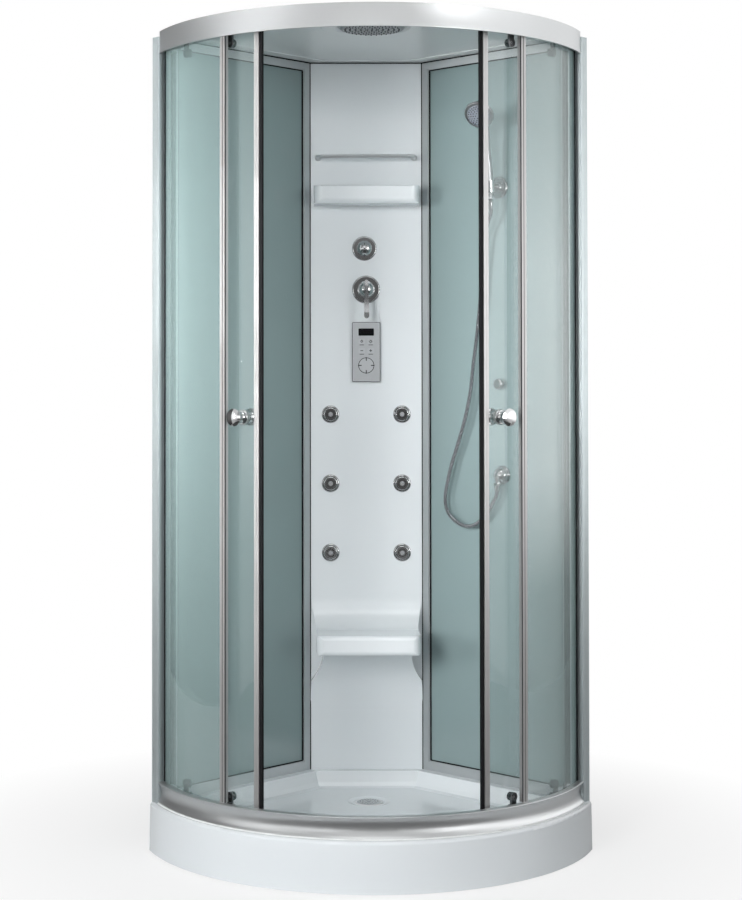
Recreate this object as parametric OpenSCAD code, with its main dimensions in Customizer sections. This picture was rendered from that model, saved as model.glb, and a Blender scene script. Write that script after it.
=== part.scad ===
// Corner shower cabin: round front with two sliding doors, two glass back walls, a moulded column, a low tray.
// Origin: on the floor, in the middle of the cabin's box. -Y is the round front, +Y the corner of the room.

/* [Cabin] */
// Height to the top of the upper rail
total_h = 2200; // [2150:5:2250]
// Radius of the round front at the foot of the tray
tray_r = 630; // [628:1:634]
// Height of the tray's ledge above the floor
rim_z = 130; // [126:1:140]
// Height of the tray's floor
basin_z = 88; // [86:1:92]
// Radius of the drain from the room's corner side, measured back from the front
drain_back = 600; // [590:5:610]

/* [Rails and glass] */
// How far the rails stand back from the foot of the tray
rail_recess = 21; // [20:1:22]
// Height of the lower rail
rail_h = 56; // [54:1:58]
// Height of the upper rail
header_h = 60; // [58:1:62]
// Thickness of the curved glass
glass_t = 5; // [4:0.5:6]
// Angle of the fixed panels' free edges from the middle of the front
stile_angle = 39.6; // [39:0.1:40]

/* [Doors] */
// Left door: angle of its leading edge from the middle, as it stands open
left_open = 30.8; // [20:0.1:30.8]
// Right door: angle of its leading edge from the middle, as it stands open
right_open = 29.3; // [20:0.1:30.8]
// Angle that a door covers
door_angle = 39.3; // [39:0.1:39.4]
// Height of the door knobs
knob_z = 1166; // [1000:5:1300]

/* [Column] */
// Width of the moulded column
column_w = 326; // [320:2:328]
// Distance of the column's face from the room's corner
column_set = 200; // [198:1:204]
// Height of the seat
seat_z = 545; // [500:5:560]
// Depth of the seat
seat_d = 220; // [200:5:230]
// Height of the shelf's top
shelf_z = 1818; // [1790:2:1840]
// Thickness of the moulded shell
shell_t = 5; // [4:0.5:6]

/* [Fittings] */
// Height of the diverter knob
diverter_z = 1642; // [1630:2:1660]
// Height of the mixer
mixer_z = 1522; // [1510:2:1530]
// Height of the keypad's middle
keypad_z = 1340; // [1330:2:1350]
// Height of the topmost pair of jets
jet_z = 1159; // [1150:1:1165]
// Distance between the rows of jets
jet_step = 201; // [195:1:205]
// Height of the hand shower's holder
holder_z = 1799; // [1790:1:1810]
// Height of the wall elbow
elbow_z = 993; // [985:1:1000]

/* [Hose] */
// Outer diameter of the hose
hose_d = 12; // [12:0.5:14]
// Number of ribs along the hose
hose_ribs = 150; // [60:10:200]

/* [Hidden] */
$fn = 48;
e = 0.01;
corner_reach = 383;       // from the centre of the round front to the room's corner
corner_round = 30;        // rounding of the tray's hidden corner
depth = tray_r + corner_reach - corner_round * (sqrt(2) - 1);
arc_y = tray_r - depth / 2;
corner_y = arc_y + corner_reach;
column_y = corner_y - column_set;
drain_y = drain_back - depth / 2;
rail_r = tray_r - rail_recess;
rail_top = rim_z + rail_h;
header_z = total_h - header_h;
wall_top = total_h - 14;
wall_t = 27;              // front face of the wall panels, from the room's wall
wall_s1 = 258;            // the wall panels' ends, along the wall from the corner
wall_s2 = 787;
post_end = 832;
fixed_r = rail_r - 19;    // middle of the fixed glass
door_r = rail_r - 43;     // middle of the door glass
slot_play = 0.7;
guide_z = rim_z + 20;     // floor of the fixed glass's slot
slot_top = total_h - 50;  // lower edge of the upper rail's flanges
door_z1 = rim_z + 46;
door_z2 = total_h - 50;
track_r = door_r - 6;     // the bead that the rollers run on
lower_bead_z = rim_z + 26;
upper_bead_z = total_h - 36;
lower_wheel_r = 9;
upper_wheel_r = 11;
wheel_gap = 0.3;
wheel_t = 6;
axle_r = 2.5;
running_gap = 0.05;
edge_w = 1.45;            // a leading stile's width, in degrees
seal_w = 0.95;            // a magnetic seal's width, in degrees
rear_w = 0.8;             // a rear seal's width, in degrees
knob_back = 5.4;          // angles behind the leading edge
wheel_backs = [9, 28];
shower_y = 248 - depth / 2;
roof_z = wall_top;
holder_s = 543;           // places along the right wall, from the corner
elbow_s = 552;
hook_s = 549;
hook_z = 1248;
glass_n = 15;             // back face of the wall glass, from the room's wall
glass_front = glass_n + 5;
handset_n = 66;           // the hand shower's foot, from the room's wall
handset_lean = 6;
handset_turn = 20;
foot_drop = 58;           // how far the hose's nut reaches below the holder, along the handle
jet_x = 104;
diverter_x = -5;
// The hose's middle line: along the wall from the corner, out from the wall, height
hose_foot = [holder_s, 60, holder_z - foot_drop];
hose_route = [
    hose_foot, hose_foot + [0, -1.6, -15], [527, 54, 1697], [512, 51, 1658], [503, 49, 1603], [494, 47, 1484],
    [481, 46, 1386], [468, 46, 1307], [457, 46, 1228], [439, 46, 1157], [415, 46, 1089], [384, 46, 1011],
    [366, 46, 948], [362, 46, 910], [374, 46, 879], [398, 46, 859], [423, 46, 848], [447, 46, 845],
    [471, 46, 851], [494, 46, 865], [515, 46, 884], [532, 46, 909], [elbow_s - 5, 45.5, elbow_z - 61],
    [elbow_s, 45, elbow_z - 42]
];
door_sides = [-1, 1];
jet_places = [for (i = [0:2], x = [-jet_x, jet_x]) [x, jet_z - i * jet_step]];
key_x = 13;
key_rows = [31, 4];       // the keys' rows, above the keypad's middle
ring_drop = 39;

white = [0.93, 0.95, 0.96];
silver = [0.70, 0.71, 0.72];
chrome = [0.80, 0.81, 0.83];
aqua = [0.60, 0.75, 0.72, 0.5];
black = [0.12, 0.12, 0.14];

// Places

module at_angle(a) translate([0, arc_y, 0]) rotate([0, 0, a]) children();

module swept(a1, a2) at_angle(a1) rotate([0, 0, -90]) rotate_extrude(angle = a2 - a1, $fn = 180) children();

module band(r1, r2, a1, a2, z1, z2) swept(a1, a2) translate([r1, z1]) square([r2 - r1, z2 - z1]);

// Along the wall from the corner is +X here, and out from the wall is -Y
module on_wall(side) mirror([side < 0 ? 1 : 0, 0, 0])
    translate([0, corner_y, 0]) rotate([0, 0, -45]) children();

module slab(s1, s2, n1, n2, z1, z2) translate([s1, -n2, z1]) cube([s2 - s1, n2 - n1, z2 - z1]);

module behind_walls(n) for (side = door_sides) on_wall(side) slab(-600, 1300, n - 400, n, -50, total_h + 100);

// +Z comes out of the column's face here, and +Y is up
module on_column(x, z) translate([x, column_y, z]) rotate([90, 0, 0]) children();

// A profile of depth and height, drawn across the column
module across(w) translate([w / 2, column_y, 0]) rotate([90, 0, -90]) linear_extrude(w) children();

// +Z comes out of the right wall here, and +Y is up
module off_wall(s, n, z) on_wall(1) translate([s, -n, z]) rotate([90, 0, 0]) children();

function wall_point(p) =
    [(p[0] - p[1]) * sqrt(0.5), corner_y - (p[0] + p[1]) * sqrt(0.5), p[2]];

// What rounds off an outer corner of a profile. With some ease, the rounding leaves a faint edge at each end.
module corner_waste(x, y, r, sx, sy, ease = 0)
    translate([x - sx * r, y - sy * r]) mirror([sx < 0 ? 1 : 0, 0]) mirror([0, sy < 0 ? 1 : 0]) difference() {
        square(r + 1);
        circle(r + ease);
    }

module rounded_plate(w, h, r) difference() {
    translate([-w / 2, -h / 2]) square([w, h]);
    for (sx = [-1, 1], sy = [-1, 1]) corner_waste(sx * w / 2, sy * h / 2, r, sx, sy);
}

// The cabin's plan, within radius r and n off the walls
module plan(r, n, back) intersection() {
    translate([0, arc_y]) circle(r);
    translate([0, corner_y]) rotate(-135) translate([n, n]) difference() {
        square(1200);
        translate([corner_round, corner_round]) rotate(180) difference() {
            square(corner_round + 1);
            circle(corner_round);
        }
    }
    translate([-800, -800]) square([1600, 800 + back]);
}

// Tray

module basin_level(z, inset) translate([0, 0, z]) linear_extrude(0.5)
    plan(tray_r - 82 - inset, 52 + inset, column_y - 22 - inset, $fn = 90);

module basin(grow, top) {
    hull() {
        basin_level(top, -grow);
        basin_level(basin_z + 14 - grow, 16 - grow);
    }
    hull() {
        basin_level(basin_z + 14 - grow, 16 - grow);
        basin_level(basin_z + 4 - grow, 24 - grow);
    }
    hull() {
        basin_level(basin_z + 4 - grow, 24 - grow);
        basin_level(basin_z - grow, 38 - grow);
    }
}

module skirt_profile() difference() {
    polygon([
        [tray_r - 6, 2], [tray_r, 2], [tray_r - 2.6, rim_z], [tray_r - 70, rim_z], [tray_r - 70, rim_z - 6],
        [tray_r - 13, rim_z - 6], [tray_r - 9, rim_z - 14]
    ]);
    corner_waste(tray_r - 2.6, rim_z, 9, 1, 1);
}

module tray() color(white) difference() {
    union() {
        difference() {
            swept(-76, 76) skirt_profile();
            behind_walls(0);
        }
        translate([0, 0, rim_z - 6]) linear_extrude(6) plan(tray_r - 12, 0, 600, $fn = 120);
        difference() {
            for (side = door_sides) on_wall(side) slab(corner_round, 828, 0, shell_t, 2, rim_z);
            translate([-45, 380, 0]) cube([90, 200, basin_z - 12]);
        }
        basin(shell_t, rim_z - 0.5);
        translate([0, drain_y, basin_z - 13]) cylinder(r = 66, h = 12);
    }
    basin(0, rim_z + 1);
    translate([0, drain_y, basin_z - 4]) cylinder(r1 = 46, r2 = 60, h = 4 + e);
    translate([0, drain_y, 0]) cylinder(r = 31, h = rim_z);
}

foot_places = [[-420, -270], [420, -270], [-360, 10], [360, 10], [-150, 300], [150, 300], [0, -420]];
bar_z = basin_z - shell_t - 24;

module frame_bar(x1, y1, x2, y2, w)
    translate([min(x1, x2) - w / 2, min(y1, y2) - w / 2, bar_z])
        cube([abs(x2 - x1) + w, abs(y2 - y1) + w, 24]);

module tray_frame() color([0.35, 0.36, 0.38]) difference() {
    union() {
        frame_bar(-430, -270, 430, -270, 30);
        frame_bar(-375, 10, 375, 10, 30);
        frame_bar(-170, 300, 170, 300, 30);
        for (x = [-150, 150]) frame_bar(x, -270, x, 300, 30);
        frame_bar(0, -430, 0, -270, 30);
    }
    for (p = foot_places) translate([p[0], p[1], bar_z - e]) cylinder(r = 4.1, h = 18);
}

module levelling_feet() color([0.25, 0.26, 0.27]) for (p = foot_places) translate(p) {
    cylinder(r = 20, h = 5);
    translate([0, 0, 5]) cylinder(r1 = 17, r2 = 8, h = 8);
    translate([0, 0, 13]) cylinder(r = 6, h = bar_z - 22);
    translate([0, 0, bar_z - 9]) cylinder(r = 11, h = 9, $fn = 6);
    translate([0, 0, bar_z]) cylinder(r = 4, h = 17);
}

// Waste: a flange through the tray's floor, a cup, and the outlet towards the corner

waste_z = 34;

module waste_trap() color([0.85, 0.86, 0.87]) translate([0, drain_y, 0]) difference() {
    union() {
        translate([0, 0, basin_z - 4]) cylinder(r1 = 40, r2 = 37, h = 2.5);
        translate([0, 0, 56]) cylinder(r = 30.5, h = basin_z - 59);
        translate([0, 0, 56]) cylinder(r = 44, h = basin_z - 13 - 56);
        translate([0, 0, 8]) cylinder(r = 40, h = 50);
        translate([0, 0, waste_z]) rotate([-90, 0, 0]) cylinder(r = 20, h = 130);
        translate([0, 30, waste_z]) rotate([-90, 0, 0]) cylinder(r = 24, h = 20);
    }
    translate([0, 0, 12]) cylinder(r = 27, h = 80);
    translate([0, 0, basin_z - 3.2]) cylinder(r = 34, h = 5);
    translate([0, 0, waste_z]) rotate([-90, 0, 0]) cylinder(r = 17.5, h = 131);
}

module drain_cover() color(chrome) translate([0, drain_y, 0]) difference() {
    union() {
        translate([0, 0, basin_z - 3.2]) cylinder(r = 33.5, h = 1.7);
        translate([0, 0, basin_z - 1.5]) cylinder(r1 = 33.5, r2 = 30, h = 1.5);
        translate([0, 0, basin_z - 16]) cylinder(r = 8, h = 13.5);
    }
    for (ring = [[11, 6], [18, 12], [25, 18]], i = [0:ring[1] - 1])
        rotate(i * 360 / ring[1]) translate([ring[0], 0, basin_z - 7]) cylinder(r = 2.1, h = 8);
}

// Rails: drawn extrusions, with the slots of the fixed glass and the rollers' tracks

module bead(r, z, h) polygon([[r + 1.5, z - h], [r + 1.5, z - 1.1], [r + 0.6, z], [r - 0.6, z],
    [r - 1.5, z - 1.1], [r - 1.5, z - h]]);

module bottom_section() difference() {
    union() {
        difference() {
            translate([rail_r - 12, rim_z]) square([15, rail_h]);
            translate([rail_r + 31, rim_z + 29]) circle(38);
            corner_waste(rail_r + 3, rim_z + rail_h, 3, 1, 1);
        }
        translate([fixed_r - 8.5, rim_z]) square([14, rail_h - 10]);
        translate([fixed_r + glass_t / 2 + slot_play, rim_z]) square([12, rail_h]);
        translate([door_r - 16, rim_z]) square([50, 5]);
        translate([door_r - 16, rim_z]) square([2.5, 18]);
        translate([track_r - 6, rim_z]) square([12, 10]);
        bead(track_r, lower_bead_z, 20);
    }
    translate([fixed_r - glass_t / 2 - slot_play, guide_z]) square([glass_t + 2 * slot_play, 60]);
    translate([rail_r + 31, rim_z + 29]) circle(38);
    difference() {
        translate([fixed_r + 5.5, rim_z + 4]) square([12, rail_h - 8]);
        translate([rail_r + 31, rim_z + 29]) circle(41);
    }
}

module top_section() difference() {
    union() {
        difference() {
            translate([rail_r - 3, header_z]) square([5, header_h]);
            translate([rail_r + 400, header_z + 34]) circle(400, $fn = 300);
            corner_waste(rail_r + 2, total_h, 3, 1, 1);
        }
        translate([rail_r - 3, header_z]) square([2.2, header_h - 1]);
        translate([rail_r - 3, header_z]) square([6, 3.5]);
        translate([door_r - 16.5, total_h - 3]) square([rail_r - door_r + 15.5, 3]);
        translate([fixed_r + glass_t / 2 + slot_play, slot_top]) square([2.5, 50]);
        translate([fixed_r - glass_t / 2 - slot_play - 2.5, slot_top]) square([2.5, 50]);
        translate([door_r - 16.5, upper_bead_z - 6]) square([3, 42]);
        translate([door_r - 16.5, upper_bead_z - 6]) square([13.5, 3]);
        bead(track_r, upper_bead_z, 5);
    }
}

module bottom_rail() color(silver) difference() {
    swept(-76, 76) bottom_section();
    behind_walls(wall_t);
}

module top_rail() color(silver) difference() {
    swept(-76, 76) top_section();
    behind_walls(wall_t);
}

// Posts: wall profiles with a fluted end and a slot for the fixed glass

module post_section() difference() {
    translate([wall_s2, -wall_t]) square([post_end - wall_s2, wall_t]);
    corner_waste(post_end, -wall_t, 4, 1, -1);
    corner_waste(post_end, 0, 2, 1, 1);
    for (n = [7, 12, 17]) translate([post_end + 1, -n]) circle(2.2);
    translate([wall_s2 - 1, -wall_t + 8]) square([6, 5]);
}

module wall_posts() color(silver) difference() {
    for (side = door_sides) on_wall(side)
        translate([0, 0, rim_z]) linear_extrude(wall_top - rim_z) post_section();
    difference() {
        band(fixed_r - glass_t / 2, fixed_r + glass_t / 2, -76, 76, guide_z, slot_top + 15);
        behind_walls(wall_t - 12);
    }
}

module fixed_glass() color(aqua) for (side = door_sides) difference() {
    band(fixed_r - glass_t / 2, fixed_r + glass_t / 2, side > 0 ? stile_angle + 0.5 : -76,
        side > 0 ? 76 : -stile_angle - 0.5, guide_z, slot_top + 15);
    behind_walls(wall_t - 12);
}

module fixed_stiles() color(silver) for (side = door_sides) difference() {
    stile_from = side > 0 ? stile_angle : -stile_angle - 1.6;
    band(fixed_r - 7, fixed_r + 7, stile_from, stile_from + 1.6, rail_top, slot_top);
    band(fixed_r - glass_t / 2, fixed_r + glass_t / 2, side > 0 ? stile_angle + 0.5 : -stile_angle - 3,
        side > 0 ? stile_angle + 3 : -stile_angle - 0.5, rail_top - 1, slot_top + 1);
    band(fixed_r + 6, fixed_r + 8, side * (stile_angle + 0.75) - 0.12, side * (stile_angle + 0.75) + 0.12,
        rail_top - 1, slot_top + 1);
}

// Doors: every angle here is measured back from the leading edge

module door_band(side, open, r1, r2, a1, a2, z1, z2)
    band(r1, r2, side > 0 ? open + a1 : -open - a2, side > 0 ? open + a2 : -open - a1, z1, z2);

module on_door(side, open, back, z)
    at_angle(side * (open + back)) translate([0, -door_r, z]) rotate([90, 0, 0]) children();

module door_pane(side, open, a1, a2, z1, z2)
    door_band(side, open, door_r - glass_t / 2, door_r + glass_t / 2, a1, a2, z1, z2);

module door_glass(side, open) color(aqua) difference() {
    door_pane(side, open, 0.4, door_angle - 0.4, door_z1, door_z2);
    on_door(side, open, knob_back, knob_z) translate([0, 0, -20]) cylinder(r = 6, h = 40);
    for (back = wheel_backs, z = [door_z1 + 22, door_z2 - 22])
        on_door(side, open, back, z) translate([0, 0, -20]) cylinder(r = 5, h = 40);
}

module door_stile(side, open) color(silver) difference() {
    door_band(side, open, door_r - 5, door_r + 5, 0, edge_w, door_z1 - 4, door_z2 + 4);
    door_pane(side, open, 0.4, 3, door_z1, door_z2);
    for (r = [door_r - 5, door_r + 5])
        door_band(side, open, r - 0.6, r + 0.6, 0.45, 0.75, door_z1 - 5, door_z2 + 5);
}

module door_seals(side, open) color(black) {
    door_band(side, open, door_r - 4, door_r + 2, -0.3, 0, door_z1 - 1, door_z2 + 1);
    door_band(side, open, door_r - 4.5, door_r + 3.5, -seal_w, -0.25, door_z1 - 2, door_z2 + 2);
    difference() {
        door_band(side, open, door_r - 4, door_r + 4, door_angle - rear_w - 0.6, door_angle, door_z1, door_z2);
        door_pane(side, open, door_angle - 4, door_angle - 0.4, door_z1 - 1, door_z2 + 1);
    }
    door_band(side, open, door_r + 3, door_r + 11, door_angle - 0.9, door_angle - 0.65,
        door_z1 + 1, door_z2 - 1);
}

// A double knob: the same turned handle on both faces of the glass, and the screw through it
module knob_half() rotate_extrude() difference() {
    union() {
        translate([0, glass_t / 2]) square([19, 4]);
        translate([0, glass_t / 2]) square([15, 32]);
        translate([0, 33]) square([22.5, 10]);
    }
    corner_waste(19, glass_t / 2 + 4, 3, 1, 1);
    translate([27, glass_t / 2 + 17]) circle(15);
    difference() {
        translate([0, 36]) square([30, 20]);
        translate([0, -16.4]) circle(59);
    }
    translate([22.5 + 8, 33]) circle(8.6);
}

module door_knob(side, open) color(chrome) on_door(side, open, knob_back, knob_z) {
    knob_half();
    mirror([0, 0, 1]) translate([0, 0, 0.35]) knob_half();
    translate([0, 0, -glass_t / 2 - 1]) cylinder(r = 6, h = glass_t + 2);
}

wheel_places = [for (top = [0, 1], back = wheel_backs) [top, back]];

function wheel_z(top) = wheel_gap + (top ? upper_bead_z + upper_wheel_r : lower_bead_z + lower_wheel_r);

// Each hanger is clamped through the glass, and carries its roller's axle beyond the glass's edge
module roller_hangers(side, open) color(silver) for (p = wheel_places) {
    hole_z = p[0] ? door_z2 - 22 : door_z1 + 22;
    reach = abs(wheel_z(p[0]) - hole_z);
    on_door(side, open, p[1], 0) {
        translate([0, 0, glass_t / 2 + 0.5]) difference() {
            linear_extrude(7) {
                translate([0, hole_z]) circle(12);
                translate([0, wheel_z(p[0])]) circle(8);
                translate([-8, min(hole_z, wheel_z(p[0]))]) square([16, reach]);
            }
            translate([0, hole_z, 5]) cylinder(r = 5.5, h = 3, $fn = 6);
        }
        translate([0, hole_z, glass_t / 2]) cylinder(r = 11, h = 0.5);
        translate([0, hole_z, -glass_t / 2 - 3.2]) cylinder(r = 11, h = 3);
        translate([0, hole_z, -glass_t / 2 - 0.4]) cylinder(r = 5, h = glass_t + 0.4);
        translate([0, wheel_z(p[0]), -6 - wheel_t / 2 - 1.5]) cylinder(r = axle_r, h = 13 + wheel_t / 2);
        translate([0, wheel_z(p[0]), -6 - wheel_t / 2 - 1.5]) cylinder(r = axle_r + 1.5, h = 1.2);
        translate([0, wheel_z(p[0]), -5.7 + wheel_t / 2]) cylinder(r = axle_r + 1.5, h = 6);
    }
}

module roller(side, open, p) color([0.2, 0.2, 0.22])
    on_door(side, open, p[1], wheel_z(p[0])) translate([0, 0, -6 - wheel_t / 2])
        rotate_extrude() difference() {
            groove_r = p[0] ? upper_wheel_r : lower_wheel_r;
            translate([axle_r + running_gap, 0]) square([groove_r + 1.5 - axle_r - running_gap, wheel_t]);
            polygon([[groove_r - 0.4, wheel_t / 2 - 0.8], [groove_r + 1, wheel_t / 2 - 1.9],
                [groove_r + 4, wheel_t / 2 - 1.9], [groove_r + 4, wheel_t / 2 + 1.9],
                [groove_r + 1, wheel_t / 2 + 1.9], [groove_r - 0.4, wheel_t / 2 + 0.8]]);
        }

// Back walls

module wall_frames() color(silver) for (side = door_sides) on_wall(side) difference() {
    slab(wall_s1, wall_s2, 12, wall_t, rim_z, wall_top);
    slab(wall_s1 + 25, wall_s2 - 25, 0, 40, rim_z + 28, wall_top - 25);
    slab(wall_s1 + 21, wall_s2 - 21, glass_n, glass_front, rim_z + 24, wall_top - 21);
    slab(wall_s1 + 22, wall_s1 + 26, 24, 30, rim_z + 25, wall_top - 22);
    slab(wall_s2 - 26, wall_s2 - 22, 24, 30, rim_z + 25, wall_top - 22);
}

module wall_glass() color([0.45, 0.56, 0.55]) for (side = door_sides) difference() {
    on_wall(side) slab(wall_s1 + 21, wall_s2 - 21, glass_n, glass_front, rim_z + 24, wall_top - 21);
    off_wall(elbow_s, 0, elbow_z) cylinder(r = 11, h = 60);
    off_wall(hook_s, 0, hook_z) cylinder(r = 3, h = 60);
    off_wall(holder_s, 0, holder_z) cylinder(r = 4, h = 60);
}

// Column: one moulded shell with the seat and the shelf drawn out of it

seat_fillet = 88;
seat_cove = 190;
lip_h = 52;
lip_r = 14;

module seat_side(t) difference() {
    translate([-30, seat_z - lip_h - seat_cove]) square([30 + seat_d - t, lip_h + seat_cove + seat_fillet]);
    translate([seat_fillet, seat_z - t]) square([400, 300]);
    translate([seat_fillet, seat_z + seat_fillet]) circle(seat_fillet + t);
    translate([seat_cove, seat_z - lip_h - seat_cove]) circle(seat_cove + t);
    corner_waste(seat_d - t, seat_z - t, lip_r - t, 1, 1, 0.4);
    corner_waste(seat_d - t, seat_z - lip_h + t - 3, lip_r - t, 1, -1);
}

module seat_front(t) difference() {
    half = column_w / 2 - t;
    translate([-half, 250]) square([2 * half, 400]);
    for (side = door_sides) mirror([side < 0 ? 1 : 0, 0]) {
        polygon([[146 - t, seat_z - lip_h - 5], [300, seat_z - lip_h - 5], [300, seat_z + 110],
            [half, seat_z + 110], [half, seat_z + seat_fillet], [146 - t, seat_z]]);
        intersection() {
            translate([276, seat_z - lip_h - 8]) circle(150 + t);
            translate([0, 200]) square([300, seat_z - lip_h - 4 + t - 200]);
        }
        corner_waste(146 - t, seat_z - lip_h - 4 + t, 16 - t, 1, -1, 0.4);
    }
}

module seat_plan(t) difference() {
    polygon([[-column_w / 2 + t, 30], [-column_w / 2 + t, 0], [-146 + t, -90], [-146 + t, -seat_d + t],
        [146 - t, -seat_d + t], [146 - t, -90], [column_w / 2 - t, 0], [column_w / 2 - t, 30]]);
    for (sx = [-1, 1]) corner_waste(sx * (146 - t), -seat_d + t, 26 - t, sx, -1, 0.4);
}

module seat_form(t) intersection() {
    across(column_w) seat_side(t);
    translate([0, column_y + 40, 0]) rotate([90, 0, 0]) linear_extrude(400) seat_front(t);
    translate([0, column_y, 200]) linear_extrude(500) seat_plan(t);
}

shelf_w = 304;
shelf_d = 92;
shelf_h = 51;

module shelf_form(t) intersection() {
    across(shelf_w - 2 * t) difference() {
        translate([-20, shelf_z - shelf_h + t]) square([20 + shelf_d - t, shelf_h - 2 * t - (t > 0 ? 8 : 0)]);
        corner_waste(shelf_d - t, shelf_z - shelf_h + t, 16 - t, 1, -1);
        if (t == 0) corner_waste(shelf_d, shelf_z, 4, 1, 1);
    }
    translate([0, column_y, shelf_z - 80]) linear_extrude(100) difference() {
        translate([-shelf_w / 2 + t, -shelf_d + t]) square([shelf_w - 2 * t, shelf_d + 20]);
        for (sx = [-1, 1]) corner_waste(sx * (shelf_w / 2 - t), -shelf_d + t, 26 - t, sx, -1);
    }
}

module shelf_dish() translate([0, column_y - shelf_d / 2 - 1, shelf_z - 8]) linear_extrude(20)
    rounded_plate(shelf_w - 22, shelf_d - 22, 18);

module column_shell() {
    half = column_w / 2;
    translate([-half, column_y, rim_z]) cube([column_w, shell_t, wall_top - rim_z]);
    for (x = [-half, half - shell_t]) translate([x, column_y, rim_z]) cube([shell_t, 34, wall_top - rim_z]);
    for (z = [rim_z, wall_top - shell_t]) translate([-half, column_y, z]) cube([column_w, 34, shell_t]);
}

module column() color(white) difference() {
    union() {
        column_shell();
        seat_form(0);
        shelf_form(0);
    }
    seat_form(shell_t);
    shelf_form(shell_t);
    shelf_dish();
    for (p = jet_places) on_column(p[0], p[1]) translate([0, 0, -10]) cylinder(r = 16, h = 20);
    on_column(diverter_x, diverter_z) translate([0, 0, -10]) cylinder(r = 14, h = 20);
    on_column(0, mixer_z) translate([0, 0, -10]) cylinder(r = 18, h = 20);
}

// One tube across the column, its ends bent back into two small rosettes
module towel_bar() color(chrome) {
    bar_z = shelf_z + 89;
    bar_out = 44;
    bend = 14;
    on_column(bend - 140, bar_z) translate([0, 0, bar_out]) rotate([0, 90, 0])
        cylinder(r = 5, h = 280 - 2 * bend);
    for (side = [0, 1]) mirror([side, 0, 0]) on_column(-140, bar_z) {
        cylinder(r = 9, h = 2.5);
        translate([0, 0, 2.5]) cylinder(r1 = 9, r2 = 6, h = 3);
        cylinder(r = 5, h = bar_out - bend);
        translate([bend, 0, bar_out - bend]) rotate([90, 0, 0]) rotate([0, 0, 90])
            rotate_extrude(angle = 90) translate([bend, 0]) circle(5);
    }
}

// Tap fittings: chrome plates, the diverter's knob, and the mixer's turning hub with its lever

module plate_section(r, hole) difference() {
    union() {
        translate([hole, 0]) square([r - hole, 5]);
        translate([hole, 0]) square([r * 0.62 - hole, 9]);
        translate([hole, 0]) square([r * 0.55 - hole, 13]);
    }
    corner_waste(r, 5, 4, 1, 1);
    corner_waste(r * 0.62, 9, 3, 1, 1);
    corner_waste(r * 0.55, 13, 1.5, 1, 1);
}

module trim_plates() color(chrome) {
    on_column(diverter_x, diverter_z) rotate_extrude() plate_section(36, 11);
    on_column(0, mixer_z) rotate_extrude() plate_section(41, 14);
}

module diverter_knob() color(chrome) on_column(diverter_x, diverter_z) difference() {
    union() {
        translate([0, 0, 13.3]) cylinder(r = 18.5, h = 3);
        translate([0, 0, 16.3]) rotate_extrude() difference() {
            square([22, 20]);
            difference() {
                translate([0, 4]) square([40, 40]);
                translate([0, -13]) circle(28);
            }
            corner_waste(22, 0, 2, 1, -1);
        }
        translate([0, 0, -8]) cylinder(r = 10.5, h = 22);
    }
    for (i = [0:11]) rotate(i * 30) translate([24.2, 0, 16]) cylinder(r = 3.4, h = 8);
    translate([-1, 9, 27]) cube([2, 20, 6]);
}

module mixer_hub() color(chrome) on_column(0, mixer_z) difference() {
    union() {
        translate([0, 0, -8]) cylinder(r = 13.5, h = 22);
        translate([0, 0, 13.3]) rotate_extrude() difference() {
            square([22, 33]);
            difference() {
                translate([0, 12]) square([40, 40]);
                translate([0, 3]) circle(26.5);
            }
            corner_waste(22, 0, 2, 1, -1);
        }
    }
    translate([-5.3, -30, 16]) cube([10.6, 60, 40]);
    translate([-12, 0, 31]) rotate([0, 90, 0]) cylinder(r = axle_r + running_gap, h = 24);
}

// The lever swings out about a pin through the hub
module mixer_lever() color(chrome) on_column(0, mixer_z) {
    translate([-5, 0, 31]) rotate([0, 90, 0]) cylinder(r = 12, h = 10);
    translate([-11.5, 0, 31]) rotate([0, 90, 0]) cylinder(r = axle_r, h = 23);
    intersection() {
        translate([0, 0, 20]) linear_extrude(60) {
            translate([0, 22]) circle(5);
            translate([-5, -28]) square([10, 50]);
            polygon([[-5, -24], [-7.2, -34], [-7.2, -78], [7.2, -78], [7.2, -34], [5, -24]]);
            translate([0, -78]) circle(7.2);
        }
        translate([20, 0, 0]) rotate([0, -90, 0]) linear_extrude(40) difference() {
            translate([31, -90]) square([24, 120]);
            translate([52, 40]) rotate(12) square([20, 60], center = true);
            difference() {
                translate([20, -100]) square([24, 82]);
                translate([214, -36]) circle(173);
            }
            translate([224, -36]) circle(172);
        }
    }
}

// Keypad: a slim case with a display, four keys and a ring key

case_w = 79;
case_h = 171;
case_d = 10;

module keypad_case() color(silver) on_column(0, keypad_z) difference() {
    linear_extrude(case_d) rounded_plate(case_w, case_h, 1.5);
    translate([0, 58, case_d - 2]) linear_extrude(5) rounded_plate(44, 20, 2);
    for (x = [-key_x, key_x], y = key_rows)
        translate([x, y, case_d - 6]) linear_extrude(9) rounded_plate(19, 15, 3);
    translate([0, -ring_drop, case_d - 6]) cylinder(r = 24.5, h = 9);
}

module keypad_display() color(black) on_column(0, keypad_z) translate([0, 58, case_d - 2])
    linear_extrude(1.4) rounded_plate(43.6, 19.6, 1.8);

module keypad_key(i) color([0.78, 0.79, 0.80]) on_column(0, keypad_z)
    translate([(i % 2 ? key_x : -key_x), key_rows[floor(i / 2)], case_d - 4.6])
        linear_extrude(5) rounded_plate(18.4, 14.4, 2.8);

module keypad_ring() color([0.72, 0.73, 0.75]) on_column(0, keypad_z) translate([0, -ring_drop, case_d - 4.6])
    difference() {
        cylinder(r = 24.2, h = 5.2);
        rotate_extrude() translate([22.2, 4.9]) square([0.8, 1]);
        for (a = [0:90:270]) rotate(a) translate([-0.4, 14, 4.9]) cube([0.8, 12, 1]);
    }

// Jets: a chrome ring with a ball nozzle in it

ball_r = 12.5;
ball_out = 2;

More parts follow.
